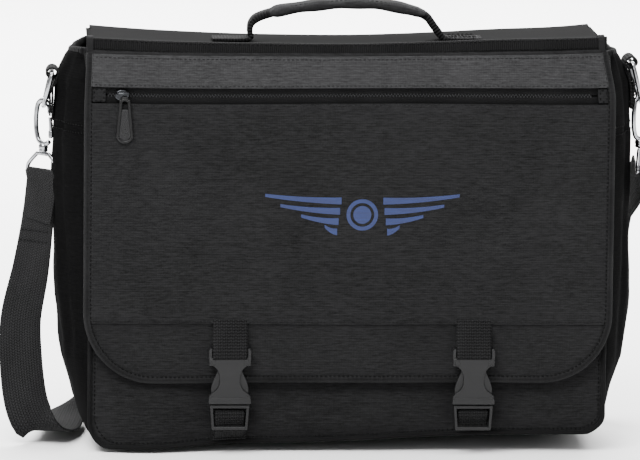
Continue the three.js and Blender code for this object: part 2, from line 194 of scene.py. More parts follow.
def ribbed(name, level, pitch=1.7 * MM, chevron=0.5, columns=3.4 * MM, depth=0.25 * MM):
    """Webbing or tape: columns of slanted yarns that meet in chevrons, with fuzz and wear."""
    n = Nodes(name, rough=0.75)
    n.set("Sheen Weight", 0.02)
    n.set("Sheen Roughness", 0.5)
    n.set("IOR", 1.08)
    place = n.place(uv=True)
    across, along = n.dot(place, (1, 0, 0)), n.dot(place, (0, 1, 0))
    turn = 2 * math.pi / pitch
    column = n.math("SINE", n.math("MULTIPLY", across, 2 * math.pi / columns))
    lean = n.math("MULTIPLY", column, chevron * 2)
    rib = n.math("SINE", n.math("ADD", n.math("MULTIPLY", along, turn), lean))
    ridge = n.math("MULTIPLY", n.math("ABSOLUTE", column), 0.9)
    fuzz = n.noise(place, 1400, (1, 1, 1), detail=2.0)
    wear = n.noise(place, 60, (1, 0.4, 1), detail=3.0)
    tone = n.math("ADD", n.math("MULTIPLY", rib, 0.12), n.math("MULTIPLY", fuzz, 0.5))
    tone = n.math("ADD", tone, n.math("MULTIPLY", wear, 0.35))
    tone = n.math("ADD", tone, n.math("MULTIPLY", ridge, 0.24))
    n.color(n.ramp(tone, [(0.28, grey(level * 0.3)), (0.82, grey(level * 2.0, 1.03))]))
    n.roughness(fuzz, 0.6, 0.85)
    height = n.math("ADD", n.math("ADD", rib, ridge), n.math("MULTIPLY", fuzz, 0.4))
    n.bump(height, depth, 0.9)
    return n.material


def moulded(name, level, rough=0.42):
    """Injection-moulded plastic with a fine spark-eroded grain and faint scuffs."""
    n = Nodes(name, rough=rough)
    n.set("Specular IOR Level", 0.2)
    place = n.place()
    grain = n.noise(place, 2600, (1, 1, 1), detail=2.0)
    scuff = n.noise(place, 90, (1, 1, 3), detail=5.0, rough=0.7)
    n.color(n.ramp(scuff, [(0.3, grey(level * 0.85, 1.04)), (0.75, grey(level * 1.25, 1.05))]))
    n.roughness(scuff, rough - 0.08, rough + 0.12)
    n.bump(grain, 0.03 * MM, 0.6)
    return n.material


def plated(name, color, rough, patch_darkening):
    """Plated wire: bright metal with faint clouding in its polish and darker cloudy patches."""
    n = Nodes(name, rough=rough, metal=1.0)
    place = n.place()
    cloud = n.noise(place, 160, (1, 1, 1), detail=4.0)
    speck = n.noise(place, 900, (1, 1, 1), detail=2.0)
    dark = tuple(c * (1 - patch_darkening) for c in color)
    n.color(n.ramp(cloud, [(0.35, dark), (0.6, color)]))
    n.roughness(cloud, rough * 0.7, rough * 1.9)
    n.bump(speck, 0.015 * MM, 0.4)
    return n.material


def printed(name):
    """Blue screen print that lets the weave show through."""
    n = Nodes(name, rough=0.62)
    place = n.place()
    slub = n.noise(place, 900, (0.06, 0.06, 1), detail=2.0)
    n.color(n.ramp(slub, [(0.3, (0.0, 0.006, 0.048)), (0.7, (0.0, 0.010, 0.070))]))
    n.bump(slub, 0.12 * MM, 0.6)
    return n.material


MATERIALS = {
    "flap_fabric": woven("flap_fabric", 0.0105, sheen=0.01),
    # The flap's upper panel is a lighter copy of the flap cloth: painted light for the brighter upper part
    # of the flap.
    "upper_fabric": woven("upper_fabric", 0.024, sheen=0.015),
    # The flap's top is a darker copy of the flap cloth: painted shade, so the top under the overhead lamp
    # reads no lighter than the front.
    "flap_top_fabric": woven("flap_top_fabric", 0.0045, across=(1, 0, 0), up=(0, 1, 0), sheen=0.01),
    "body_fabric": woven("body_fabric", 0.0095, sheen=0.005),
    # The side panels' cloth is the body cloth made far darker: painted shade for the sides turned away from
    # the front light.
    "gusset_painted_shade_fabric": woven("gusset_painted_shade_fabric", 0.0025, sheen=0.0),
    "lining": woven("lining", 0.010, pitch=0.6 * MM, contrast=0.25, sheen=0.01),
    "webbing": ribbed("webbing", 0.0075, pitch=2.2 * MM, chevron=0.35, depth=0.4 * MM),
    "strap_webbing": ribbed("strap_webbing", 0.009, pitch=2.0 * MM, chevron=1.1, columns=4 * MM),
    "band": ribbed("band", 0.006, pitch=1.5 * MM, chevron=0.1, columns=1.2 * MM),
    "binding": ribbed("binding", 0.0095, pitch=0.8 * MM, chevron=0.2, columns=1 * MM, depth=0.1 * MM),
    "piping": ribbed("piping", 0.005, pitch=0.8 * MM, chevron=0.2, columns=1 * MM, depth=0.1 * MM),
    "grip": woven("grip", 0.021, across=(1, 0, 0), up=(0, 1, 0), sheen=0.02),
    "zip_tape": ribbed("zip_tape", 0.006, pitch=0.7 * MM, chevron=0.6, columns=0.9 * MM, depth=0.1 * MM),
    "thread": ribbed("thread", 0.003, pitch=0.5 * MM),
    "plastic": moulded("buckle_plastic", 0.0085, rough=0.36),
    "pull": moulded("pull_rubber", 0.003, rough=0.42),
    "pull_pad": moulded("pull_pad", 0.012, rough=0.6),
    # The coil is lighter grey than the zip tapes: painted highlight along the coil's raised line.
    "coil": moulded("zip_coil", 0.018, rough=0.45),
    "board": moulded("board_wrap", 0.010, rough=0.6),
    # Chrome's colour is lowered to a mid grey: painted dark reflection, in place of the dark surroundings
    # the plating would mirror.
    "chrome": plated("chrome", (0.36, 0.365, 0.38), 0.13, 0.6),
    "gunmetal": plated("gunmetal", (0.05, 0.052, 0.056), 0.2, 0.5),
    "print": printed("blue_print"),
}


# ---------------------------------------------------------------- mesh helpers

def piece(name, verts, faces, material, smooth=True, uv=None):
    """A mesh object with consistent outward faces. uv is one (across, along) pair per vertex."""
    mesh = bpy.data.meshes.new(name)
    mesh.from_pydata([tuple(v) for v in verts], [], faces)
    for extra in material if isinstance(material, (list, tuple)) else [material]:
        mesh.materials.append(MATERIALS[extra])
    if uv is not None:
        layer = mesh.uv_layers.new(name=THREAD)
        for loop in mesh.loops:
            layer.data[loop.index].uv = uv[loop.vertex_index]
    mesh.polygons.foreach_set("use_smooth", [smooth] * len(mesh.polygons))
    mesh.update()
    made = bpy.data.objects.new(name, mesh)
    bpy.context.scene.collection.objects.link(made)
    return made


def face_out(made):
    """Turns every face outward. The mesh has to be closed."""
    work = bmesh.new()
    work.from_mesh(made.data)
    bmesh.ops.recalc_face_normals(work, faces=work.faces)
    work.to_mesh(made.data)
    work.free()
    made.data.update()
    return made


def modify(made, kind, **values):
    modifier = made.modifiers.new(kind.lower(), kind)
    for key, value in values.items():
        setattr(modifier, key, value)
    return made


def bake_modifiers(made):
    """Applies every modifier, so that the mesh is final."""
    graph = bpy.context.evaluated_depsgraph_get()
    final = bpy.data.meshes.new_from_object(made.evaluated_get(graph))
    made.modifiers.clear()
    made.data = final
    return made


def joined(name, parts):
    """One object from several meshes, keeping the material of each."""
    work, mesh, used = bmesh.new(), bpy.data.meshes.new(name), []
    for part in parts:
        slots = []
        for material in part.data.materials:
            if material not in used:
                used.append(material)
                mesh.materials.append(material)
            slots.append(used.index(material))
        before = len(work.faces)
        work.from_mesh(part.data)
        work.faces.ensure_lookup_table()
        for face in work.faces[before:]:
            face.material_index = slots[face.material_index]
    work.to_mesh(mesh)
    work.free()
    for part in parts:
        bpy.data.objects.remove(part)
    made = bpy.data.objects.new(name, mesh)
    bpy.context.scene.collection.objects.link(made)
    return made


def on(made, body, slot, *nodes):
    """Rides a finished piece on its body and hides the CAD nodes it stands for; the slot argument is not
    used.
    """
    if body in ("flap_front", "flap_top"):
        settle(made)
    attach(made, body)
    if nodes:
        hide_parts(*nodes)
    return made


def spline(points, count, closed=False):
    """Catmull-Rom points, evenly spaced along a line of control points."""
    p = np.array(points, float)
    ends = (p[-1:], p[:2]) if closed else (2 * p[:1] - p[1:2], 2 * p[-1:] - p[-2:-1])
    p = np.vstack([ends[0], p, ends[1]])
    fine = []
    for i in range(1, len(p) - 2):
        for t in np.linspace(0, 1, 24, endpoint=False):
            a, b, c, d = p[i - 1:i + 3]
            fine.append(0.5 * (2 * b + (c - a) * t + (2 * a - 5 * b + 4 * c - d) * t * t
                               + (3 * b - a - 3 * c + d) * t ** 3))
    if not closed:
        fine.append(p[-2])
    fine = np.array(fine + ([fine[0]] if closed else []))
    reach = np.concatenate([[0], np.cumsum(np.linalg.norm(np.diff(fine, axis=0), axis=1))])
    want = np.linspace(0, reach[-1], count + 1 if closed else count)
    even = np.array([np.interp(want, reach, fine[:, k]) for k in range(fine.shape[1])]).T
    return even[:-1] if closed else even


def tangents(line, closed=False):
    if closed:
        t = np.roll(line, -1, axis=0) - np.roll(line, 1, axis=0)
    else:
        t = np.gradient(line, axis=0)
    return t / np.linalg.norm(t, axis=1, keepdims=True)


def sweep(name, line, across, profile, material, closed=False):
    """A solid swept along a line: profile points are (across, out) pairs in a closed loop."""
    line = np.array(line, float)
    t = tangents(line, closed)
    a = np.array(across, float) * np.ones((len(line), 1))
    a = a - (a * t).sum(axis=1, keepdims=True) * t
    a /= np.linalg.norm(a, axis=1, keepdims=True)
    out = np.cross(a, t)
    if callable(profile):
        loops = [profile(i / (len(line) - 1)) for i in range(len(line))]
    else:
        loops = [profile] * len(line)
    steps = np.linalg.norm(np.diff(line, axis=0), axis=1)
    reach = np.concatenate([[0], np.cumsum(steps)])
    verts, uv = [], []
    count = len(loops[0])
    for i, loop in enumerate(loops):
        for u, v in loop:
            verts.append(line[i] + a[i] * u + out[i] * v)
            uv.append((u, reach[i]))
    faces = []
    rows = len(line)
    for i in range(rows if closed else rows - 1):
        j = (i + 1) % rows
        for k in range(count):
            m = (k + 1) % count
            faces.append((i * count + k, i * count + m, j * count + m, j * count + k))
    if not closed:
        faces.append(tuple(reversed(range(count))))
        faces.append(tuple((rows - 1) * count + k for k in range(count)))
    return face_out(piece(name, verts, faces, material, True, uv))


def round_profile(radius, sides=14):
    angles = np.linspace(0, 2 * math.pi, sides, endpoint=False)
    return [(radius * math.cos(a), radius * math.sin(a)) for a in angles]


def soft_oval(across, out, across_power, out_power, sides):
    """A rounded oblong. Powers under 1 make it squarer; powers of 1 make an ellipse."""
    bent = lambda value, power: math.copysign(abs(value) ** power, value)
    angles = np.linspace(0, 2 * math.pi, sides, endpoint=False)
    return [(across * bent(math.cos(a), across_power), out * bent(math.sin(a), out_power)) for a in angles]


def tape_profile(width, thickness, edge_steps=4, rows=8):
    """A flat tape with rounded selvedges."""
    half, r = width / 2, thickness / 2
    flat = np.linspace(-half + r, half - r, rows)
    loop = [(u, r) for u in flat]
    for a in np.linspace(90, -90, edge_steps + 2)[1:-1]:
        loop.append((half - r + r * math.cos(math.radians(a)), r * math.sin(math.radians(a))))
    loop += [(u, -r) for u in flat[::-1]]
    for a in np.linspace(-90, -270, edge_steps + 2)[1:-1]:
        loop.append((-half + r + r * math.cos(math.radians(a)), r * math.sin(math.radians(a))))
    return loop


def tube(name, points, radius, count, material, closed=False, across=(0, 1, 0), sides=14):
    line = spline(points, count, closed)
    return sweep(name, line, across, round_profile(radius, sides), material, closed)


def near(origin, steps):
    """Points at the given steps, in millimetres, from a place."""
    return [tuple(o + s * MM for o, s in zip(origin, step)) for step in steps]


def rectangle(low_x, low_z, high_x, high_z):
    return [(low_x, low_z), (high_x, low_z), (high_x, high_z), (low_x, high_z)]


def grid_faces(columns, rows):
    """The quads of a grid whose points run along each row in turn."""
    faces = []
    for j in range(rows):
        for i in range(columns):
            a = j * (columns + 1) + i
            faces.append((a, a + 1, a + columns + 2, a + columns + 1))
    return faces


def thickened(made, thickness):
    """A sheet made solid, half of its thickness on either side."""
    modify(made, "SOLIDIFY", thickness=thickness, offset=0)
    return bake_modifiers(made)


def prism_faces(count):
    """The two ends of a prism and the sides between them."""
    faces = [tuple(range(count)), tuple(reversed(range(count, 2 * count)))]
    return faces + [(k, (k + 1) % count, (k + 1) % count + count, k + count) for k in range(count)]


def plate(name, outline, y_front, y_back, material, bevel=0.5 * MM, segments=3):
    """A flat plate from an outline in X and Z, with rounded edges."""
    verts = [(x, y_front, z) for x, z in outline] + [(x, y_back, z) for x, z in outline]
    made = face_out(piece(name, verts, prism_faces(len(outline)), material))
    modify(made, "BEVEL", width=bevel, segments=segments, limit_method="ANGLE",
           angle_limit=math.radians(28), harden_normals=True)
    return bake_modifiers(made)


def brick(name, low, high, material, bevel=0.5 * MM):
    return plate(name, rectangle(low[0], low[2], high[0], high[2]), low[1], high[1], material, bevel)


def rounded(points, radius):
    """Rounds each corner of a closed outline by the given radius."""
    result = []
    count = len(points)
    for i, p in enumerate(points):
        p = np.array(p, float)
        before, after = np.array(points[i - 1], float), np.array(points[(i + 1) % count], float)
        r = min(radius, 0.45 * np.linalg.norm(before - p), 0.45 * np.linalg.norm(after - p))
        a = p + (before - p) / np.linalg.norm(before - p) * r
        b = p + (after - p) / np.linalg.norm(after - p) * r
        for t in np.linspace(0, 1, CORNER_STEPS):
            result.append(tuple((1 - t) ** 2 * a + 2 * t * (1 - t) * p + t * t * b))
    return result


def stitches(name, runs, material="thread", pitch=3.2 * MM, length=2.4 * MM, radius=0.42 * MM):
    """Raised thread along runs of (line, outward): one small tapered capsule for each stitch."""
    verts, faces = [], []
    for line, outward in runs:
        line = np.array(line, float)
        reach = np.concatenate([[0], np.cumsum(np.linalg.norm(np.diff(line, axis=0), axis=1))])
        total = max(1, int(reach[-1] / pitch))
        for k in range(total):
            middle = (k + 0.5) * reach[-1] / total
            ends = [np.array([np.interp(middle + s * length / 2, reach, line[:, c]) for c in range(3)])
                    for s in (-1, 1)]
            t = ends[1] - ends[0]
            if np.linalg.norm(t) < 1e-6:
                continue
            t /= np.linalg.norm(t)
            up = np.array(outward, float)
            side = np.cross(t, up)
            side /= np.linalg.norm(side)
            base = len(verts)
            verts.append(ends[0] - up * radius * 0.6)
            for share in (0.22, 0.78):
                centre = ends[0] * (1 - share) + ends[1] * share
                for u, v in ((1, 0), (0, 1), (-1, 0), (0, -1)):
                    verts.append(centre + side * u * radius + up * v * radius * 0.8)
            verts.append(ends[1] - up * radius * 0.6)
            for q in range(4):
                r = (q + 1) % 4
                faces.append((base, base + 1 + q, base + 1 + r))
                faces.append((base + 1 + q, base + 5 + q, base + 5 + r, base + 1 + r))
                faces.append((base + 9, base + 5 + r, base + 5 + q))
    uv = [(v[0], v[2]) for v in verts]
    return face_out(piece(name, verts, faces, material, True, uv))


def legs(points, outward):
    """Straight runs for stitches, from each point to the next."""
    return [(np.array([a, b]), outward) for a, b in zip(points, points[1:])]


# ---------------------------------------------------------------- sizes taken from the frame

FLAP_LOW, FLAP_HIGH = span("flap_binding")
BODY_LOW, BODY_HIGH = span("front_panel", "back_panel")
TOP_LOW, TOP_HIGH = span("flap_top_panel")
BAND_LOW, BAND_HIGH = span("flap_front_band")
SOCKET_LOW, SOCKET_HIGH = span("right_buckle_socket")

HALF = FLAP_HIGH.x
HEM = FLAP_LOW.z
FLAP_TOP = FLAP_HIGH.z
FACE_Y = span("flap_pocket_panel")[0].y
SEAM_Z = span("flap_lower_panel")[1].z
STORM_Z = span("flap_upper_panel")[0].z
POCKET_Z = span("flap_pocket_panel")[1].z
BUCKLE_X = (SOCKET_LOW.x + SOCKET_HIGH.x) / 2
BUCKLE_DRIFT = 2.6 * MM
FLAP_R = 50 * MM
BODY_HALF = 187 * MM
BODY_R = 18 * MM
SHELL_THICK = 2.2 * MM
GUSSET_SEAM_Z = 229 * MM
FRONT_Y, BACK_Y = BODY_LOW.y, BODY_HIGH.y
BODY_TOP = BODY_HIGH.z


def ripple(x, y, z, scale, seed=0.0):
    """Smooth noise from -1 to 1 over lengths of about 1 / scale metres."""
    return noise.noise(Vector((x * scale + seed, y * scale - seed, z * scale + 2 * seed)))


def bell(value, centre, width):
    return math.exp(-((value - centre) / width) ** 2)


def ease(value, low, high):
    t = min(1.0, max(0.0, (value - low) / (high - low)))
    return t * t * (3 - 2 * t)


def settled(x, y, z):
    """How the worn flap sits: its right corner drawn in and up, its fold line gently waved."""
    high = ease(z, 0.235, 0.292)
    right = max(0.0, x / HALF)
    left = max(0.0, -x / HALF)
    dx = -7.0 * MM * right ** 3 * ease(z, 0.25, 0.292) + 1.5 * MM * left ** 3 * high
    dz = high * (3.6 * MM * right ** 2.5 + 1.2 * MM * left ** 4 - 1.2 * MM * bell(x, 0, 70 * MM))
    wave = 1.0 * MM * math.sin(x * 15 + 0.9) * (1 - (x / HALF) ** 2)
    dz += wave * ease(z, 0.18, 0.262)
    dz -= 1.2 * MM * bell(x, -0.7 * HALF, 60 * MM) * (1 - ease(z, 0.05, 0.09))
    return x + dx, y, z + dz


def settle(made):
    """Move a piece of the flap with the cloth it is sewn to."""
    for v in made.data.vertices:
        v.co = settled(*v.co)
    return made


# ---------------------------------------------------------------- flap

def flap_relief(x, z):
    """How far the flap's face stands out from flat, in metres: a slack panel held at its rim."""
    rim = max(0.0, 1 - (x / HALF) ** 6) * (1 - ease(z, POCKET_Z - 6 * MM, POCKET_Z))
    billow = 1.8 * MM * rim * (0.5 + 0.5 * math.cos((z - 0.17) / 0.12))
    folds = 1.1 * MM * ripple(x, 0, z * 0.5, 22, 3.1) * rim
    folds += 0.5 * MM * ripple(x * 0.4, 0, z, 60, 7.7) * rim
    folds -= 1.8 * MM * bell(x, -0.135, 30 * MM) * bell(z, 0.081, 7 * MM)
    folds -= 1.2 * MM * bell(x, 0.06, 34 * MM) * bell(z, 0.08, 6 * MM)
    pull = sum(bell(x, side * BUCKLE_X, 26 * MM) for side in (-1, 1))
    low = 1 - ease(z, SEAM_Z - 10 * MM, SEAM_Z + 60 * MM)
    return billow + folds - 1.2 * MM * pull * low + 0.9 * MM * low * bell(x, 0, 50 * MM)


def flap_y(x, z):
    return FACE_Y - flap_relief(x, z)


def flap_half(z, inset, bottom):
    """Half the flap's width at height z, inside its rounded lower corners."""
    r = FLAP_R - inset
    rise = z - bottom
    if rise >= r:
        return HALF - inset
    return HALF - inset - r + math.sqrt(max(0.0, r * r - (r - rise) ** 2))


def flap_panel(name, low, high, inset, depth, material, rows=30, thickness=1.4 * MM):
    """A fabric panel of the flap between two heights, following its relief."""
    verts, uv, columns = [], [], 84
    bottom = HEM + inset
    for j in range(rows + 1):
        z = low + (high - low) * (j / rows)
        half = flap_half(max(z, bottom), inset, bottom)
        for i in range(columns + 1):
            x = half * (2 * i / columns - 1)
            verts.append((x, flap_y(x, z) + depth, z))
            uv.append((x, z))
    made = piece(name, verts, grid_faces(columns, rows), material, True, uv)
    modify(made, "SOLIDIFY", thickness=thickness, offset=-1)
    modify(made, "BEVEL", width=0.35 * thickness, segments=2, limit_method="ANGLE",
           angle_limit=math.radians(50))
    return bake_modifiers(made)


def rim_line(inset, depth, count):
    """The flap's U-shaped rim, this far inside its edge, from the top left round to the top right."""
    half, bottom, r = HALF - inset, HEM + inset, FLAP_R - inset
    side = np.linspace(FLAP_TOP, bottom + r, 8)
    corner = lambda middle, degrees: [
        (middle + r * math.cos(math.radians(a)), bottom + r + r * math.sin(math.radians(a)))
        for a in np.linspace(*degrees, 12)[1:]]
    line = [(-half, z) for z in side] + corner(-half + r, (180, 270))
    line += [(x, bottom) for x in np.linspace(-half + r, half - r, 14)[1:]]
    line += corner(half - r, (270, 360)) + [(half, z) for z in side[::-1][1:]]
    even = spline([(x, 0, z) for x, z in line], count)
    return np.array([(x, flap_y(x, z) + depth, z) for x, _, z in even])


def flap_binding():
    """Folded tape round the flap's free edge, slightly puckered by its stitching."""
    line = rim_line(2.6 * MM, 2.6 * MM, 220)
    for i, point in enumerate(line):
        point[1] += 0.25 * MM * math.sin(i * 1.9) * ripple(point[0], 0, point[2], 40)
    profile = soft_oval(3.0 * MM, 2.7 * MM, 0.6, 0.6, 18)
    made = sweep("flap_binding_tape", line, (0, 1, 0), profile, "binding")
    return on(made, "flap_front", "binding", "flap_binding")


def flap_face():
    """The flap's three outer panels and its lining, each a cut cloth sewn into the binding."""
    inset, top = 4.2 * MM, FLAP_TOP - 0.5 * MM
    panels = (
        # The upper panel takes the lighter cloth that paints light on it.
        ("upper", STORM_Z, top, -0.9 * MM, "upper_fabric", 10, 1.4 * MM, "flap_upper_panel",
         FLAP_TOP - STORM_Z, "stretched"),
        ("pocket", SEAM_Z - 2 * MM, POCKET_Z, -0.5 * MM, "flap_fabric", 60, 1.4 * MM, "flap_pocket_panel",
         POCKET_Z - SEAM_Z + 2 * MM, "hung"),
        ("lower", HEM + inset, SEAM_Z, 0.9 * MM, "flap_fabric", 24, 1.4 * MM, "flap_lower_panel",
         SEAM_Z - HEM - inset, "hung"),
        ("lining", HEM + inset, top, 4.4 * MM, "lining", 50, 0.8 * MM, "flap_lining",
         FLAP_TOP - HEM - inset, "hung"))
    for name, low, high, depth, material, rows, thickness, node, tall, held in panels:
        cloth = flap_panel(f"flap_{name}_cloth", low, high, inset, depth, material, rows, thickness)
        on(cloth, "flap_front", "lining" if name == "lining" else "flap_fabric", node)


def flap_seams():
    """Stitch rows round the binding, along the storm fold, the pocket top and the lower seam."""
    out = (0, -1, 0)
    rim = stitches("flap_rim_stitching", [(rim_line(5.0 * MM, -0.7 * MM, 200), out)])
    on(rim, "flap_front", "webbing")
    wide = HALF - 6 * MM
    rows = ((STORM_Z + 1.6 * MM, wide, 0.95 * MM), (FLAP_TOP - 3 * MM, wide, 0.95 * MM),
            (POCKET_Z - 1.5 * MM, wide - 8 * MM, 0.6 * MM), (SEAM_Z - 0.2 * MM, wide, 0.6 * MM))
    runs = [(np.array([(x, flap_y(x, z) - lift, z) for x in np.linspace(-half, half, 90)]), out)
            for z, half, lift in rows]
    return on(stitches("flap_stitching", runs, "binding", radius=0.32 * MM), "flap_front", "webbing")


def bend_cloth(name, profile, count, half, raise_by, material, thickness):
    """A strip of cloth as wide as the bag, bent along a profile of (y, z) points."""
    line, columns = spline([(0, y, z) for y, z in profile], count), 60
    xs = np.linspace(-half, half, columns + 1)
    verts = [(x, y, z + raise_by(x, y, z)) for _, y, z in line for x in xs]
    made = piece(name, verts, grid_faces(columns, len(line) - 1), material)
    return settle(thickened(made, thickness))


def fold_cloth():
    """The cloth that turns from the flap's top over its front edge, bending at the fold."""
    profile = [(BAND_HIGH.y + 3 * MM, TOP_LOW.z + 0.6 * MM), (BAND_LOW.y + 1.6 * MM, TOP_LOW.z - 0.4 * MM)]
    profile += near((FACE_Y, FLAP_TOP), [(0.9, 0.4), (0.4, -4), (0.8, -9)])
    flat = lambda x, y, z: 0
    made = bend_cloth("flap_fold_cloth", profile, 14, HALF - 1.2 * MM, flat, "flap_fabric", 1 * MM)
    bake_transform(made)


def top_sag(x, y):
    """The flap's top dips a little between its ends and crowns over its foam."""
    along = x / HALF
    dip = -(1.7 + 3.4 * ease(y, -50 * MM, -15 * MM)) * MM * (1 - along ** 2)
    dip += 1.4 * MM * bell(x, 0.62 * HALF, 60 * MM)
    return dip + 0.4 * MM * ripple(x, y, 0, 18, 1.3)


def flap_cover():
    """The padded top panel of the flap."""
    columns, rows = 76, 18
    verts = {}
    sheet, faces = [], []
    low_y, high_y = BAND_LOW.y + 2.2 * MM, TOP_HIGH.y + 1.5 * MM
    middle_y, half_y = (low_y + high_y) / 2, (high_y - low_y) / 2
    middle_z, half_z = (TOP_LOW.z + TOP_HIGH.z) / 2, (TOP_HIGH.z - TOP_LOW.z) / 2
    for side in (1, -1):
        for j in range(rows + 1):
            for i in range(columns + 1):
                u, v = 2 * i / columns - 1, 2 * j / rows - 1
                edge = (1 - abs(u) ** 22) * (1 - abs(v) ** 14)
                x, y = HALF * u * 0.998, middle_y + half_y * v
                z = middle_z + side * (half_z + 0.3 * MM) * max(0.0, edge) ** 0.35
                z += top_sag(x, y) * (1 if side > 0 else 0.3)
                if edge <= 1e-9 and (i, j) in verts:
                    verts[(i, j, side)] = verts[(i, j)]
                    continue
                verts[(i, j, side)] = len(sheet)
                if edge <= 1e-9:
                    verts[(i, j)] = len(sheet)
                    z = middle_z + top_sag(x, y) * 0.6
                sheet.append((x, y, z))
    for side in (1, -1):
        for j in range(rows):
            for i in range(columns):
                quad = [verts[(i, j, side)], verts[(i + 1, j, side)], verts[(i + 1, j + 1, side)],
                        verts[(i, j + 1, side)]]
                faces.append(tuple(quad if side > 0 else reversed(quad)))
    # The top cover takes the darker top cloth, which paints shade on the upward face.
    made = face_out(piece("flap_top_cover", sheet, faces, "flap_top_fabric"))
    return on(made, "flap_top", "flap_fabric", "flap_top_panel")


def front_band():
    """Ribbed tape that binds the top front edge of the flap."""
    middle = (BAND_LOW + BAND_HIGH) / 2
    xs = np.linspace(BAND_LOW.x, BAND_HIGH.x, 90)
    line = [(x, middle.y - 0.8 * MM, middle.z + 0.4 * MM + top_sag(x, middle.y)) for x in xs]
    profile = [(u * 1.02, v) for u, v in tape_profile(9.2 * MM, 4.4 * MM, 5, 10)]
    made = sweep("flap_front_tape", line, (0, 0, 1), profile, "band")
    on(made, "flap_top", "webbing", "flap_front_band")
    for name, x in (("left", BAND_LOW.x + 2.4 * MM), ("right", BAND_HIGH.x - 4.4 * MM)):
        centre = (x, middle.y, middle.z + top_sag(x, middle.y))
        points = near(centre, [(0, -2.6, -6.6), (0, -3.4, 0), (0, -2.8, 4.2), (0, 2, 5.4), (0, 12, 4.2)])
        profile = tape_profile(5.2 * MM, 1.6 * MM)
        cap = sweep(f"flap_band_{name}_end", spline(points, 20), (1, 0, 0), profile, "binding")
        on(cap, "flap_top", "webbing")
    rows = []
    for lift in (3.4, -3.2):
        rows.append((np.array([(x, y - 2.3 * MM, z + lift * MM) for x, y, z in line]), (0, -1, 0)))
    return on(stitches("flap_band_stitching", rows), "flap_top", "webbing")


def hinge_cloth():
    """Cloth from the back panel over the rear top edge, bending where the flap opens."""
    profile = near((BACK_Y, BODY_TOP), [(0.6, -22), (0.9, -8), (1.6, 1)])
    profile += near((BACK_Y, TOP_HIGH.z), [(0.6, -1), (-6, -1.1), (-14, -1.4)])
    follow_top = lambda x, y, z: top_sag(x, y) * ease(z, BODY_TOP, TOP_HIGH.z)
    half = BODY_HALF + 1 * MM
    made = bend_cloth("flap_hinge_cloth", profile, 22, half, follow_top, "body_fabric", 1.6 * MM)
    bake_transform(made)


def emblem():
    """A plain winged disc, printed flat on the pocket: the bag's only decoration."""
    centre_x, centre_z = 9 * MM, 171 * MM
    parts = []

    def patch(points):
        verts = [(x, flap_y(x, z) - 0.62 * MM, z) for x, z in points]
        back = [(x, flap_y(x, z) - 0.40 * MM, z) for x, z in points]
        parts.append(face_out(piece("patch", verts + back, prism_faces(len(points)), "print", False)))

    for side in (-1, 1):
        for row, (reach, drop) in enumerate(((70, 9), (58, 1.5), (42, -6), (24, -13.5))):
            thick = 2.5 * MM
            start = centre_x + side * (15 + row) * MM
            count = 10
            bars = []
            for k in range(count + 1):
                t = k / count
                x = start + side * (reach * MM - 15 * MM) * t
                z = centre_z + drop * MM + 4 * MM * t * t
                bars.append((x, z, thick * (1 - 0.55 * t)))
            for (xa, za, ta), (xb, zb, tb) in zip(bars, bars[1:]):
                patch([(xa, za - ta), (xb, zb - tb), (xb, zb + tb), (xa, za + ta)])
    ring = np.linspace(0, 2 * math.pi, 33)
    for a, b in zip(ring, ring[1:]):
        for r0, r1 in ((0.0, 6.5), (8.6, 11.4)):
            corners = [(r0, a), (r1, a), (r1, b), (r0, b)] if r0 else [(0, a), (r1, a), (r1, b)]
            steps = [(r * math.cos(t), r * math.sin(t)) for r, t in corners]
            patch(near((centre_x, centre_z - 1 * MM), steps))
    made = joined("pocket_emblem", parts)
    return on(made, "flap_front", "flap_fabric")


# ---------------------------------------------------------------- zip

COIL_LOW, COIL_HIGH = span("zip_coil")
SLIDER_LOW, SLIDER_HIGH = span("zip_slider")
PULL_LOW, PULL_HIGH = span("zip_pull")


def zip_tapes():
    for name, node in (("upper", "zip_tape_upper"), ("lower", "zip_tape_lower")):
        low, high = span(node)
        edge = 2.0 * MM if name == "upper" else -2.0 * MM
        z = (low.z + high.z) / 2 - edge
        line = [(x, (low.y + high.y) / 2 - 0.3 * MM, z) for x in np.linspace(low.x, high.x, 60)]
        width = high.z - low.z - 0.6 * MM
        made = sweep(f"zip_{name}_tape", line, (0, 0, 1), tape_profile(width, 1.1 * MM), "zip_tape")
        on(made, "flap_front", "webbing", node)


def zip_coil():
    """Two rows of interlocking coil loops along the zip's middle; their lighter grey is a painted highlight
    along the coil.
    """
    pitch, verts, faces = 1.15 * MM, [], []
    middle = (COIL_LOW.z + COIL_HIGH.z) / 2
    y0 = COIL_LOW.y + 0.3 * MM
    x0, x1 = COIL_LOW.x + 4 * MM, COIL_HIGH.x - 4 * MM
    count = int((x1 - x0) / pitch)
    for k in range(count):
        side = 1 if k % 2 else -1
        x = x0 + (k + 0.5) * pitch
        base = len(verts)
        for reach, half, lift in ((-0.35, 0.24, 0.0), (0.1, 0.4, 0.35), (1.0, 0.4, 0.3), (1.3, 0.3, 0.0)):
            z = middle + side * reach * MM
            for dx, dy in ((-half, 0.7), (half, 0.7), (half * 0.8, -lift), (-half * 0.8, -lift)):
                verts.append((x + dx * MM, y0 + dy * MM, z))
        for row in range(3):
            for q in range(4):
                a, b = base + 4 * row + q, base + 4 * row + (q + 1) % 4
                faces.append((a, b, b + 4, a + 4))
        faces.append(tuple(base + q for q in (3, 2, 1, 0)))
        faces.append(tuple(base + 12 + q for q in range(4)))
    made = face_out(piece("zip_coil_teeth", verts, faces, "coil"))
    on(made, "flap_front", "zip_coil", "zip_coil")


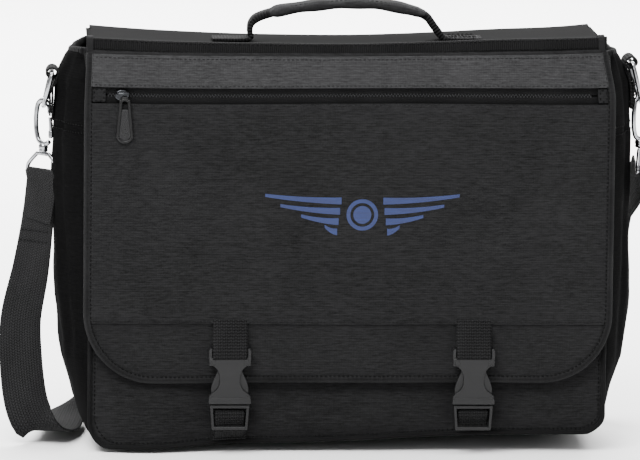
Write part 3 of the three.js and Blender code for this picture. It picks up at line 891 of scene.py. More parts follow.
def zip_ends():
    """A folded, stitched fabric tab closes each end of the zip window."""
    inset = 1.3 * MM
    for side, node in ((-1, "left_zip_end"), (1, "right_zip_end")):
        low, high = span(node)
        low.x, high.x = (low.x, high.x + 3 * MM) if side < 0 else (low.x - 0.5 * MM, high.x)
        low.y -= 0.1 * MM
        on(brick(f"{node}_tab", low, high, "flap_fabric", 0.8 * MM), "flap_front", "flap_fabric", node)
        corners = rectangle(low.x + inset, low.z + inset, high.x - inset, high.z - inset)
        runs = legs([(x, low.y, z) for x, z in corners + corners[:1]], (0, -1, 0))
        on(stitches(f"{node}_stitches", runs, pitch=2.6 * MM, length=1.9 * MM), "flap_front", "webbing")


def zip_slider():
    middle = (COIL_LOW.z + COIL_HIGH.z) / 2
    x0, x1 = SLIDER_LOW.x, SLIDER_HIGH.x
    front, back = SLIDER_LOW.y, SLIDER_HIGH.y
    outline = near((x0, middle), [(0, -2.2), (4, -4.2)])
    outline += near((x1, middle), [(-2, -3.4), (0.4, 0), (-2, 3.4)])
    outline = rounded(outline + near((x0, middle), [(4, 4.2), (0, 2.2)]), 1.6 * MM)
    body = plate("slider_body", outline, front + 1.6 * MM, back + 0.2 * MM, "gunmetal", 0.7 * MM, 3)
    arch = near((x0, front, middle), [(1.5, 2, 1.5), (2.5, 0.4, 1.5), (6, -0.2, 1.5)])
    arch += near((x1, front, middle), [(-0.6, 0.6, 1.5), (-0.2, 2, 1.5)])
    bridge = tube("slider_bridge", arch, 0.95 * MM, 22, "gunmetal", across=(0, 0, 1))
    on(joined("zip_slider_body", [body, bridge]), "zip_slider", "gunmetal", "zip_slider")


def zip_pull():
    """An oval rubber pull: a thick rim round a pad of fine raised dots."""
    x, y = (PULL_LOW.x + PULL_HIGH.x) / 2, (PULL_LOW.y + PULL_HIGH.y) / 2
    top, bottom = PULL_HIGH.z - 4.2 * MM, PULL_LOW.z + 6 * MM
    pad_top = top - 4.5 * MM
    rim = []
    for z, across, up, degrees, count in ((top, 3.0, 2.6, (0, 180), 9), (bottom, 5.0, 5.0, (180, 360), 11)):
        for a in np.radians(np.linspace(*degrees, count)):
            rim.append((x + across * MM * math.cos(a), y, z + up * MM * math.sin(a)))
    ring = tube("pull_rim", rim, 1.2 * MM, 72, "pull", closed=True, sides=12)
    edge = [(3.5 * MM, pad_top), (4.5 * MM, bottom), (2.6 * MM, bottom - 4 * MM)]
    pad = rounded([(x - w, z) for w, z in edge] + [(x + w, z) for w, z in edge[::-1]], 2 * MM)
    parts = [ring, plate("pull_pad", pad, y - 0.1 * MM, y + 0.7 * MM, "pull_pad", 0.2 * MM)]
    dot = [(-0.42, 0, 0), (0, 0, -0.42), (0.42, 0, 0), (0, 0, 0.42), (0, -0.7, 0)]
    for j in range(int((pad_top - bottom) / (1.3 * MM)) + 3):
        z = bottom - 2.4 * MM + j * 1.3 * MM
        for i in range(-2, 3):
            cx = x + (i + 0.5 * (j % 2)) * 1.35 * MM
            if abs(cx - x) > 3.1 * MM or z > pad_top - 0.8 * MM:
                continue
            faces = [(0, 1, 4), (1, 2, 4), (2, 3, 4), (3, 0, 4), (3, 2, 1, 0)]
            parts.append(face_out(piece("dot", near((cx, y, z), dot), faces, "pull_pad", False)))
    hoop = near((x, y, top), [(-2.2, 0, 1.2), (-1.6, 0, 3.6), (1.6, 0, 3.6), (2.2, 0, 1.2)])
    bail = tube("pull_bail", hoop, 0.8 * MM, 16, "pull")
    on(joined("zip_pull_tab", parts + [bail]), "zip_pull", "pull_plastic", "zip_pull")


# ---------------------------------------------------------------- bag body

def front_relief(x, z):
    """The lower front of the body swells between the straps and tucks in under the flap."""
    low = 1 - ease(z, 34 * MM, 56 * MM)
    lift = ease(z, 0, 16 * MM)
    held = sum(bell(x, side * BUCKLE_X, 20 * MM) for side in (-1, 1))
    swell = (2.6 + 2.2 * bell(x, 0, 46 * MM)) * MM * low * lift * (1 - 0.85 * held)
    return swell * (1 - abs(x / BODY_HALF) ** 8) + 0.5 * MM * ripple(x, 0, z, 26, 5.0) * low


def front_lift(x, y, z):
    """The worn front bottom edge: rolled under on the right, slumped forward on the left."""
    front = ease(-y, -5 * MM, 50 * MM)
    lift = 6.5 * MM * ease(x, -0.06, 0.12) + 4.0 * MM * ease(x, -0.15, -0.07) - 2.4 * MM
    lump = 9.0 * MM * bell(x, -0.145, 36 * MM)
    return -lump * (1 - ease(z, 0, 70 * MM)) * front, lift * (1 - ease(z, 0, 34 * MM)) * front


def slump(points):
    """Move points of the front panel's edge with its worn bottom."""
    for point in points:
        forward, lift = front_lift(*point)
        point[1] += forward
        point[2] += lift
    return points


def body_half(z):
    if z >= BODY_R:
        return BODY_HALF
    return BODY_HALF - BODY_R + math.sqrt(max(0.0, BODY_R ** 2 - (BODY_R - z) ** 2))


# How far each side stands out past the front panel at these heights, all in mm: the left side
# first. Both were read from the photo and then adjusted.
SIDE_HEIGHTS = (0, 10, 30, 60, 104, 156, 190, 227, 262, 279, 287)
SIDE_REACH = {-1: (0, 4, 11.5, 18.5, 23.5, 24.5, 25, 25.5, 23, 15, 9),
              1: (-5, -2, 6, 17, 20.5, 19.5, 19.5, 20.5, 17, 10, 4)}


def gusset_bulge(t, z, side):
    """How far the side panel stands out, with its soft creases, at t from front to back."""
    reach = np.interp(z / MM, SIDE_HEIGHTS, SIDE_REACH[side]) * MM
    height = ease(z, 4 * MM, 90 * MM) * (1 - ease(z, 0.25, BODY_TOP) * 0.6)
    out = reach * max(0.0, math.cos(t * math.pi / 2)) ** 0.8
    shape = max(0.0, 1 - t * t)
    crease = 3.4 * MM * bell(t, 0.3 + 0.1 * math.sin(z * 17 + side), 0.11) * ease(z, 0.05, 0.14)
    crease += 3.2 * MM * bell(t, -0.52 - 0.1 * math.sin(z * 23), 0.10) * ease(z, 0.02, 0.1)
    crease += 1.6 * MM * bell(t, 0.66, 0.08)
    seam = 1.5 * MM * bell(z, GUSSET_SEAM_Z, 1.8 * MM) * shape ** 0.3
    wrinkle = (1.5 * ease(z, 0.02, 0.1) + 1.4 * ripple(t * 0.05, side, z, 24, 2.0)) * MM * shape
    wrinkle += 0.9 * MM * ripple(t * 0.11 + z * 0.4, side, z, 48, 9.0) * shape
    return out - (crease * shape + seam) * height + wrinkle


def body_top(t, part):
    """Height of the rim: low at the front under the flap, rising over the sides to the back."""
    front, back = span("front_panel")[1].z, BODY_TOP
    if part == "front":
        return front
    if part == "back":
        return back
    return front + (back - front) * ease(t, -1.05, -0.86) - 2 * MM * bell(t, 0.1, 0.4)


def body_point(part, t, v, inset=0.0):
    """A point of the shell: part of the perimeter, place along it from -1 to 1, share of height."""
    floor = 0.25 * MM + inset
    z = floor + (body_top(t, part) - floor) * v
    half = body_half(z) - inset
    depth = BACK_Y - inset
    if part == "front":
        x = t * half
        forward, lift = front_lift(x, -depth, z)
        return (x, -depth - front_relief(x, z) + forward, z + lift)
    if part == "back":
        return (-t * half, depth + 0.5 * MM * ripple(t * half, 1, z, 14, 4.0), z)
    side = 1 if part == "right" else -1
    tuck = 1 - 0.5 * ease(z, 0.262, BODY_TOP) * max(0.0, -t) ** 2
    x, y = side * (half + gusset_bulge(t, z, side)), t * depth * tuck
    forward, lift = front_lift(x, y, z)
    return (x, y + forward * ease(-y, 20 * MM, 56 * MM), z + lift)


def body_ring():
    ring = [("front", t) for t in np.linspace(-1, 1, 65)[:-1]]
    ring += [("right", t) for t in np.linspace(-1, 1, 37)[:-1]]
    ring += [("back", t) for t in np.linspace(-1, 1, 49)[:-1]]
    ring += [("left", t) for t in np.linspace(1, -1, 37)[:-1]]
    return ring


def body_shell():
    """One sewn shell: panels, sides and bottom, lined inside and open at the top."""
    ring, rows = body_ring(), 64
    shares = [ease(j, 0, rows) * 0.25 + 0.75 * (j / rows) for j in range(rows + 1)]
    verts, faces, slots = [], [], []
    for inset, order in ((0.0, shares), (SHELL_THICK, shares[::-1])):
        for v in order:
            verts += [body_point(part, t, v, inset) for part, t in ring]
    count, total = len(ring), 2 * (rows + 1)
    for j in range(total - 1):
        for i in range(count):
            k = (i + 1) % count
            faces.append((j * count + i, j * count + k, (j + 1) * count + k, (j + 1) * count + i))
            # Side-panel faces take slot 2, the darker side cloth that paints their shade.
            side = ring[i][0] in ("left", "right")
            slots.append((2 if side else 0) if j <= rows + 1 else 1)
    faces.append(tuple(reversed(range(count))))
    faces.append(tuple((total - 1) * count + i for i in range(count)))
    slots += [0, 1]
    made = piece("bag_shell", verts, faces, ["body_fabric", "lining", "gusset_painted_shade_fabric"])
    made.data.polygons.foreach_set("material_index", slots)
    face_out(made)
    work = bmesh.new()
    work.from_mesh(made.data)
    bmesh.ops.triangulate(work, faces=[f for f in work.faces if len(f.verts) > 4])
    work.to_mesh(made.data)
    work.free()
    made.data.polygons.foreach_set("use_smooth", [True] * len(made.data.polygons))
    return on(made, "bag", "body_fabric", "front_panel", "back_panel", "left_gusset", "right_gusset",
              "left_corner", "right_corner", "bottom_panel")


def rim_of_panel(y_sign, lift, top):
    """The U of a body panel's edge, from the top left round the bottom to the top right."""
    heights = list(np.linspace(top, BODY_R, 26))
    heights += [BODY_R * (1 - math.sin(a)) for a in np.linspace(0, math.pi / 2, 9)[1:]]
    left = [(-body_half(z) - lift, z - (lift if z < BODY_R else 0)) for z in heights]
    low = [(x, left[-1][1]) for x in np.linspace(left[-1][0], -left[-1][0], 40)[1:-1]]
    line = left + low + [(-x, z) for x, z in left[::-1]]
    return [(x, y_sign * (BACK_Y + 0.6 * MM), max(z, 1.9 * MM)) for x, z in line]


def piping():
    """Covered cord sewn round the edge of the front and back panels."""
    for name, sign in (("front_piping", -1), ("back_piping", 1)):
        top = span(name)[1].z if sign < 0 else BODY_TOP - 16 * MM
        line = spline(rim_of_panel(sign, -0.9 * MM, top), 260)
        for point in line:
            if sign < 0:
                point[1] -= front_relief(point[0], point[2])
        made = sweep(f"{name}_cord", slump(line), (0, 1, 0), round_profile(1.7 * MM, 10), "piping")
        on(made, "bag", "body_fabric", name)


def body_seams():
    """Stitching beside the piping, across each side panel and along the rim."""
    runs = []
    for sign in (-1, 1):
        line = np.array(rim_of_panel(sign, -4.4 * MM, 0.25))
        for point in line:
            point[1] = sign * (BACK_Y + 0.1 * MM) - (front_relief(point[0], point[2]) if sign < 0 else 0)
            point[2] = max(point[2], 5 * MM)
        runs.append((slump(line), (0, sign, 0)))
    for side, part in ((-1, "left"), (1, "right")):
        for z in (GUSSET_SEAM_Z - 2.8 * MM, GUSSET_SEAM_Z + 2.8 * MM):
            row = []
            for t in np.linspace(-0.93, 0.93, 40):
                share = z / body_top(t, part)
                x, y, height = body_point(part, t, share)
                row.append((x + side * 0.15 * MM, y, height))
            runs.append((np.array(row), (side, 0, 0)))
    return on(stitches("body_stitching", runs), "bag", "webbing")


def shell_rims():
    """Bound edges: tape folded over the rim of the front panel and of each side panel."""
    rows = {"front": np.linspace(-0.985, 0.985, 60), "left": np.linspace(-0.95, 0.93, 30),
            "right": np.linspace(-0.95, 0.93, 30)}
    for part, places in rows.items():
        line = []
        for t in places:
            a, b = np.array(body_point(part, t, 1.0)), np.array(body_point(part, t, 1.0, SHELL_THICK))
            line.append((a + b) / 2 + np.array((0, 0, -SHELL_THICK)))
        profile = soft_oval(2.0 * MM, 4.6 * MM, 1, 1, 12)
        even = spline(line, 60)
        across = np.cross(tangents(even), (0, 0, 1))
        made = sweep(f"{part}_rim_tape", even, across, profile, "webbing")
        on(made, "bag", "webbing")


# ---------------------------------------------------------------- inside

def divider():
    """The padded cloth that parts the bag in two, bound along its top edge."""
    low, high = span("center_divider")
    columns, rows = 60, 24
    wavy_y = lambda x, z: (low.y + high.y) / 2 + 0.8 * MM * ripple(x, 0, z, 12, 6.0)
    verts = []
    for j in range(rows + 1):
        z = low.z + (high.z - low.z) * j / rows
        xs = [low.x + (high.x - low.x) * i / columns for i in range(columns + 1)]
        verts += [(x, wavy_y(x, z), z) for x in xs]
    cloth = thickened(piece("divider_cloth", verts, grid_faces(columns, rows), "lining"), 2.4 * MM)
    on(cloth, "bag", "lining", "center_divider")
    line = [(x, wavy_y(x, high.z), high.z - 1.5 * MM) for x in np.linspace(low.x, high.x, 60)]
    tape = sweep("divider_edge_tape", line, (0, 1, 0), round_profile(2.6 * MM, 10), "binding")
    on(tape, "bag", "webbing")


def organizer():
    """Three open pockets side by side on the back panel, each slack along its top."""
    low, high = span("organizer_pocket")
    cells, columns, rows = 3, 24, 20
    width, deep, wall = (high.x - low.x) / cells, high.y - low.y - 1.2 * MM, high.y - 0.6 * MM
    parts = []
    for k in range(cells):
        verts = []
        for j in range(rows + 1):
            v = j / rows
            for i in range(columns + 1):
                u = i / columns
                puff = math.sin(math.pi * u) ** 0.5 * (0.25 + 0.75 * v)
                z = low.z + (high.z - low.z) * v - 3 * MM * v * math.sin(math.pi * u)
                verts.append((low.x + width * (k + u), wall - deep * puff, z))
        parts.append(thickened(piece("cell", verts, grid_faces(columns, rows), "lining"), 1.0 * MM))
        edge = [(low.x + width * (k + u), wall - deep * math.sin(math.pi * u) ** 0.5,
                 high.z - 3 * MM * math.sin(math.pi * u)) for u in np.linspace(0, 1, 25)]
        parts.append(sweep("edge", edge, (0, 0, 1), round_profile(1.3 * MM, 8), "lining"))
    on(joined("organizer_cells", parts), "bag", "lining", "organizer_pocket")


def base_board():
    """The stiff board in the bottom, which follows the worn front edge."""
    low, high = span("base_board")
    verts, faces, columns = [], [], 40
    for z in (low.z + 0.4 * MM, high.z):
        for y in (low.y + 8 * MM, high.y - 1 * MM):
            for x in np.linspace(low.x + 2 * MM, high.x - 2 * MM, columns + 1):
                _, lift = front_lift(x, -BACK_Y, 0)
                verts.append((x, y, z + lift * (0.5 - y / (2 * BACK_Y))))
    row = columns + 1
    for i in range(columns):
        for a, b in ((0, 1), (1, 3), (3, 2), (2, 0)):
            faces.append((a * row + i, a * row + i + 1, b * row + i + 1, b * row + i))
    faces += [(0, row, 3 * row, 2 * row), (columns, columns + row, columns + 3 * row, columns + 2 * row)]
    board = face_out(piece("base_board_wrap", verts, faces, "board", False))
    on(board, "bag", "board", "base_board")


# ---------------------------------------------------------------- buckles

def socket_parts(x, low, high):
    """The female half: an hourglass face with open sides, a mouth lip, a strap bar and two ears."""
    half = (high.x - low.x) / 2
    face, back = low.y, high.y
    z0, z1 = low.z, high.z
    reach = half / MM
    parts = []

    def add(name, outline, y_front, y_back, bevel, radius=0.0, segments=3):
        shape = rounded(outline, radius * MM) if radius else outline
        shape = [(x + u, v) for u, v in shape]
        parts.append(plate(name, shape, face + y_front * MM, y_back, "plastic", bevel * MM, segments))

    waist = near((0, z0), [(reach, 6), (9.6, 10), (7.3, 14.5), (7.2, 20), (9, 25), (reach, 30)])
    outline = [(-half, z0), (half, z0)] + waist + [(half, z1 - 7 * MM), (-half, z1 - 7 * MM)]
    outline += [(-u, v) for u, v in waist[::-1]]
    add("face", outline, 0.6, face + 3.2 * MM, 0.9, 2.2, 4)
    lip = near((0, z0), [(-reach - 0.3, -0.2), (reach + 0.3, -0.2), (reach + 0.1, 4.6),
                         (-reach - 0.1, 4.6)])
    add("lip", lip, 0, face + 2.4 * MM, 0.7, 1.2)
    add("block", rectangle(-half, z1 - 12.5 * MM, half, z1 - 6.6 * MM), 1, back, 0.7, 1)
    for side in (-1, 1):
        a, b = sorted((side * 13.9 * MM, side * half))
        rail = brick("rail", (x + a, face + 1.2 * MM, z0), (x + b, back, z0 + 6 * MM), "plastic", 0.4 * MM)
        parts.append(rail)
        ear = near((0, z1), [(side * 12.9, -8), (side * (reach + 0.2), -8), (side * (reach + 0.2), -1),
                             (side * 14.2, 0.4), (side * 12.9, 0)])
        add("ear", ear, 0.8, back, 0.5)
        grip = near((0, z1), [(side * 10.4, -11.6), (side * 13.4, -11.6), (side * 13.4, -8),
                              (side * 10.4, -8)])
        add("grip", grip, 0.1, face + 1.4 * MM, 0.4, 0.8)
    bar = near((x, face, z1), [(1 - reach, 5.2, -2.6), (0, 5.2, -2.6), (reach - 1, 5.2, -2.6)])
    parts.append(tube("bar", bar, 1.5 * MM, 6, "plastic"))
    return parts


def insert_parts(x, low, high):
    """The male half's base: a ladder frame with a strap bar at each end and a guide pin."""
    z0, z1 = low.z, low.z + 18.3 * MM
    front, back = low.y, high.y
    parts = []

    def add(name, outline, y_front, y_back, bevel):
        shape = [(x + u, v) for u, v in outline]
        parts.append(plate(name, shape, y_front, y_back, "plastic", bevel * MM, 3))

    for side in (-1, 1):
        edge = [(side * 11.0 * MM, z0), (side * 12.8 * MM, z0), (side * 14.2 * MM, z1),
                (side * 12.2 * MM, z1)]
        add("side", rounded(edge, 0.9 * MM), front, back, 0.7)
    for a, b, lift, reach in ((z1 - 2.6 * MM, z1, 0.15, 13.2), (z0, z0 + 2.4 * MM, 0.0, 12.2)):
        add("bar", rectangle(-reach * MM, a, reach * MM, b), front - lift * MM, back - 1.4 * MM, 0.7)
    guide = [(-1.5 * MM, z1 - 1 * MM), (1.5 * MM, z1 - 1 * MM), (1.1 * MM, 48 * MM), (-1.1 * MM, 48 * MM)]
    add("guide", rounded(guide, 0.8 * MM), front + 1.8 * MM, back - 0.6 * MM, 0.4)
    return parts


def prong_outline(x, side):
    points = [(6.6, 32.7), (10.6, 32.7), (11, 39.2), (13.2, 40.0), (13.5, 43.6), (12.7, 47.4), (11.2, 51.2),
              (8.6, 57), (6.6, 57), (7.4, 46), (6.8, 38)]
    return rounded([(x + side * u * MM, v * MM) for u, v in points], 0.9 * MM)


def buckles():
    for name, side in (("left", -1), ("right", 1)):
        x = side * BUCKLE_X + BUCKLE_DRIFT
        node = f"{name}_buckle_socket"
        socket = joined(f"{name}_socket", socket_parts(x, *span(node)))
        on(socket, f"{name}_socket", "buckle_plastic", node)
        node = f"{name}_buckle_insert"
        on(joined(f"{name}_insert", insert_parts(x, *span(node))), "bag", "buckle_plastic", node)
        for letter, hand in (("a", -1), ("b", 1)):
            node = f"{name}_buckle_prong_{letter}"
            low, high = span(node)
            outline = prong_outline(x, hand)
            arm = plate(f"{name}_prong_{letter}_arm", outline, low.y, high.y, "plastic", 0.6 * MM, 3)
            on(arm, f"{name}_prong_{letter}", "buckle_plastic", node)


def buckle_straps():
    """Webbing from the flap's seam to the socket, and from the bottom seam up through the insert."""
    def band(name, points, count, width, thickness, material="webbing"):
        return sweep(name, spline(points, count), (1, 0, 0), tape_profile(width, thickness), material)

    face, socket_top = SOCKET_LOW.y, SOCKET_HIGH.z
    for name, side in (("left", -1), ("right", 1)):
        x = side * BUCKLE_X + BUCKLE_DRIFT
        top_y = flap_y(x, SEAM_Z)
        points = near((x, top_y, SEAM_Z), [(0, -0.4, 1.5), (0, -1.6, -3), (0, -3.2, -9)])
        points += near((x, face, SEAM_Z), [(0, 2.6, -17), (0, 1.3, -21)])
        points += near((x, face, socket_top), [(0, 1.1, -7.4)])
        made = band(f"{name}_upper_webbing", points, 26, WEBBING_WIDTH, 1.5 * MM)
        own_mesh(on(made, "flap_front", "webbing", f"{name}_upper_strap"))
        back = near((x, face, socket_top), [(0, 8.2, -12), (0, 7.6, -4), (0, 6.6, 0.6), (0, 4.2, 1.8),
                                            (0, 2.8, 0.4)])
        on(band(f"{name}_strap_turn", back, 18, WEBBING_WIDTH, 1.3 * MM), f"{name}_socket", "webbing")
        fold = near((x, top_y, SEAM_Z), [(0, -0.2, 0.8), (0, -1.0, -1.4)])
        cap = band(f"{name}_seam_fold", fold, 5, WEBBING_WIDTH + 3 * MM, 1.2 * MM, "binding")
        on(cap, "flap_front", "flap_fabric")

        front = span(f"{name}_buckle_insert")[0].y
        root = FRONT_Y - front_relief(x, 8 * MM)
        rise = near((x, root, 0), [(0, -0.4, 2.2), (0, -1.4, 6)])
        rise += near((x, front, 0), [(0, 5.4, 12), (0, 4.6, 15.5), (0, 3.2, 19.5), (0, 1.2, 22.6),
                                     (0, 1.0, 25.2), (0, 3.6, 28)])
        upper = band(f"{name}_lower_webbing", rise, 40, 21.4 * MM, 1.4 * MM)
        tail = near((x, root, 0), [(0, -0.2, 1.6), (0, -1.2, 5), (0, -2.6, 9)])
        tail += near((x, front, 0), [(0, 6.8, 14), (0, 6.9, 20), (0, 6.6, 30)])
        under = band("tail", tail, 26, WEBBING_WIDTH, 1.4 * MM)
        run = joined(f"{name}_lower_webbing_run", [upper, under])
        slump([v.co for v in run.data.vertices])
        on(run, "bag", "webbing", f"{name}_lower_strap")


# ---------------------------------------------------------------- handle

GRIP_HIGH = span("handle_grip")[1]


def grip_height(x):
    half = GRIP_HIGH.x - 0.9 * MM
    return GRIP_HIGH.z - 3.6 * MM - 7.5 * MM * (x / half) ** 2 + 0.5 * MM * math.sin(x * 60)


def handle_grip():
    """A padded wrap round the carrying webbing, stitched along both long edges."""
    half = GRIP_HIGH.x - 0.4 * MM
    xs = np.linspace(-half, half, 72)
    line = [(x, 0, grip_height(x)) for x in xs]

    def profile(t):
        end = min(t, 1 - t) * 2
        wide = 12.4 * MM * (1 - 0.10 * (1 - ease(end, 0, 0.16)))
        thick = (3.9 - 1.3 * (1 - ease(end, 0, 0.1)) + 0.35 * math.sin(t * 25)) * MM
        return soft_oval(wide, thick, 0.55, 0.75, 24)

    made = sweep("handle_grip_wrap", line, (0, 1, 0), profile, "grip")
    on(made, "handle", "flap_fabric", "handle_grip")
    runs = []
    for y in (-10.2, 10.2):
        for side in (1, -1):
            run = [(x, y * MM, grip_height(x) + side * 2.75 * MM) for x in xs[3:-3]]
            runs.append((np.array(run), (0, 0.2 * y / abs(y), side)))
    on(stitches("grip_stitching", runs), "handle", "webbing")


def handle_webbing():
    """Each end runs from its foot, sewn flat on the flap, up into the grip, bending up at its root."""
    base, samples = TOP_HIGH.z, 60
    for name, side in (("left", -1), ("right", 1)):
        low, high = span(f"{name}_handle_foot")
        inner, outer = (high.x, low.x) if side < 0 else (low.x, high.x)
        foot_z = base + 1.3 * MM + top_sag((inner + outer) / 2, 0)
        if side < 0:
            rise = near((inner, foot_z), [(-2.2, 1.6), (-2.6, 6), (-1.6, 11.5), (3.5, 16)])
        else:
            rise = [(inner * share, foot_z + up * MM)
                    for share, up in ((1.03, 1.2), (0.965, 6), (0.90, 12), (0.86, 15.5))]
        flat = [(outer, foot_z), ((outer * 2 + inner) / 3, foot_z),
                ((outer + 3 * inner) / 4, foot_z + 0.1 * MM)]
        grip = [(side * x * MM, grip_height(side * x * MM)) for x in (52, 40)]
        line = spline([(x, 0, z) for x, z in flat + rise + grip], samples)

        def doubled(t):
            x = abs(float(np.interp(t, np.linspace(0, 1, samples), line[:, 0])))
            folded = ease(abs(inner) + 6 * MM - x, 0, 8 * MM)
            return tape_profile((24 - 4 * folded) * MM, (2.6 + 3.0 * folded) * MM)

        made = sweep(f"{name}_handle_webbing", line, (0, 1, 0), doubled, "webbing")
        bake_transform(made)
        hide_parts(f"{name}_handle_foot", "handle_webbing")
        a, b = sorted((outer, inner))
        p, q, r, s = [(x, y, foot_z + 1.25 * MM)
                      for x, y in rectangle(a + 3 * MM, -10 * MM, b - 4 * MM, 10 * MM)]
        runs = legs([p, q, r, s, p], (0, 0, 1)) + legs([p, r], (0, 0, 1)) + legs([q, s], (0, 0, 1))
        on(stitches(f"{name}_foot_stitching", runs), "flap_top", "webbing")


# ---------------------------------------------------------------- rings, hooks and shoulder strap

# Each side's sign, the turn of its hook and the turn of its swivel loop, in radians about Z.
SIDES = {"left": (-1, -0.8, -0.9), "right": (1, 0.82, 1.4)}
# How far a ring's bar leans in and rises, and how far a hook leans in, as the photo shows them.
RING_LEAN = {"left": (6.0 * MM, 2.0 * MM), "right": (12.5 * MM, 7.0 * MM)}
HOOK_LEAN = {"left": 0.0, "right": 4.5 * MM}
LOOP_BAR_Z = {"left": 190.5 * MM, "right": 195.7 * MM}


def ring_place(name):
    """Where the ring's bar runs: the middle of the top of the D-ring."""
    low, high = span(f"{name}_d_ring")
    return Vector(((low.x + high.x) / 2, 0, high.z - 1.65 * MM))


def ring_tabs():
    """Webbing sewn to each side, up round the ring's bar and down over itself."""
    for name, (side, _, _) in SIDES.items():
        bar = ring_place(name)
        lean, rise = RING_LEAN[name]
        bar.x -= side * lean
        bar.z += rise
        r = 3.6 * MM

        def wall(down, out, place=None):
            """A point this far out from the bag's side where it is this far below the bar, in mm.

            Where place is given, the point is that far below the bar instead."""
            z = bar.z - down * MM
            x = body_point(name, 0.0, z / body_top(0.0, name))[0] + side * out * MM
            return x, z if place is None else bar.z - place * MM

        path = [wall(34, 0.8), wall(20, 0.9), wall(8, 1.4, 9)]
        path += [(bar.x + side * (u - more * MM), bar.z + v) for u, more, v in (
            (-r, 1.2, -1 * MM), (-r * 0.6, 0, r * 0.95), (r * 0.5, 0, r), (r * 1.1, 0, -0.2 * MM),
            (r * 0.2, 0, -r), (-r, 0.4, -4.6 * MM))]
        path += [wall(16, 2.6, 13), wall(22, 2.5), wall(31, 2.4)]
        line = spline([(x, 0, z) for x, z in path], 70)
        profile = tape_profile(WEBBING_WIDTH, 1.5 * MM)
        made = sweep(f"{name}_ring_webbing", line, (0, 1, 0), profile, "webbing")
        on(made, "bag", "webbing", f"{name}_ring_tab")
        x = wall(26, 3.5)[0]
        box = rectangle(-10 * MM, bar.z - 29.5 * MM, 10 * MM, bar.z - 15 * MM)
        runs = legs([(x, y, z) for y, z in box + box[:1]], (side, 0, 0))
        on(stitches(f"{name}_tab_stitching", runs), "bag", "webbing")


def d_rings():
    for name in SIDES:
        bar = ring_place(name)
        half = 19 * MM
        path = [(0, 0), (10, 0), (17, -0.1), (18.9, -1.4)]
        path += [(19 * math.cos(a), -3 - 20 * math.sin(a)) for a in np.linspace(0.25, math.pi - 0.25, 13)]
        path += [(-18.9, -1.4), (-17, -0.1), (-10, 0)]
        side = SIDES[name][0]
        lean, rise = RING_LEAN[name]
        foot = HOOK_LEAN[name]
        points = []
        for u, v in path:
            high = 1 + v / 23
            x = bar.x - side * (foot + (lean - foot) * high)
            points.append((x, bar.y + u * half / 19, bar.z + v * MM + rise * high))
        made = tube(f"{name}_d_ring_wire", points, 1.65 * MM, 96, "chrome", closed=True, across=(1, 0, 0))
        on(made, "bag", "chrome", f"{name}_d_ring")


def lathe(name, profile, material, sides=20):
    """A turned piece round Z from (radius, height) points."""
    verts, faces = [], []
    angles = np.linspace(0, 2 * math.pi, sides, endpoint=False)
    for r, z in profile:
        verts += [(r * math.cos(a), r * math.sin(a), z) for a in angles]
    for j in range(len(profile) - 1):
        for i in range(sides):
            k = (i + 1) % sides
            faces.append((j * sides + i, j * sides + k, (j + 1) * sides + k, (j + 1) * sides + i))
    faces.append(tuple(reversed(range(sides))))
    faces.append(tuple((len(profile) - 1) * sides + i for i in range(sides)))
    return face_out(piece(name, verts, faces, material))


def hooks():
    """Snap hooks: a wire bow, a sprung gate with a thumb knob, a swivel barrel and a strap loop."""
    bow = [(6.6, -9.2), (6.3, -6.0), (4.6, -2.6), (0, 0), (-5.2, -3), (-7.4, -11), (-7.4, -22),
           (-5, -29.5), (0, -32), (3.4, -31.8), (5.8, -30.2)]
    turned = [(2.2, -38.2), (3.0, -37.9), (3.4, -37.2), (3.4, -36.4), (2.9, -36.0), (3.5, -35.4),
              (3.5, -33.2), (2.6, -32.2), (1.6, -31.2)]
    arm = [(7.4, 0, -27.4), (7.6, 0, -22), (7.5, 0, -17), (6.9, 0, -12.2)]
    thumb = [(0.8, -3.0), (1.8, -2.8), (2.2, -2.0), (2.0, -1.2), (2.2, -0.4), (2.0, 0.4), (2.2, 1.2),
             (1.8, 2.0), (0.8, 2.2)]
    ring = [(-17.6, -15.7), (0, -15.7), (17.6, -15.7), (18.2, -14.4), (16.8, -9.6), (7.6, -1.9),
            (4.5, -1.2), (-4.5, -1.2), (-7.6, -1.9), (-16.8, -9.6), (-18.2, -14.4)]
    origin = (0, 0, 0)
    for name, (side, turn, loop_turn) in SIDES.items():
        bar = ring_place(name)
        bar.x -= side * HOOK_LEAN[name]
        hang = Matrix.Translation((bar.x, 0, bar.z - 18.5 * MM))
        wire = tube("bow", near(origin, [(u, 0, v) for u, v in bow]), 1.8 * MM, 60, "chrome")
        body = joined(f"{name}_hook_wire", [wire, lathe("barrel", near((0, 0), turned), "chrome")])
        body.data.transform(hang @ Matrix.Rotation(turn, 4, "Z"))
        on(body, "bag", "chrome", f"{name}_hook_body")

        gate = tube("gate", near(origin, arm), 1.35 * MM, 24, "chrome")
        knob = lathe("knob", near((0, 0), thumb), "chrome", 14)
        knob.data.transform(Matrix.Translation((8.0 * MM, 0, -24 * MM)))
        made = joined(f"{name}_hook_spring_gate", [gate, knob])
        made.data.transform(hang @ Matrix.Rotation(turn, 4, "Z"))
        on(made, f"{name}_gate", "chrome", f"{name}_hook_gate")

        points = near(origin, [(u, 0, v - 38.3) for u, v in ring])
        loop = tube(f"{name}_swivel_loop", points, 1.5 * MM, 110, "chrome", closed=True)
        loop.data.transform(hang @ Matrix.Rotation(loop_turn, 4, "Z"))
        on(loop, "bag", "chrome", f"{name}_hook_loop")


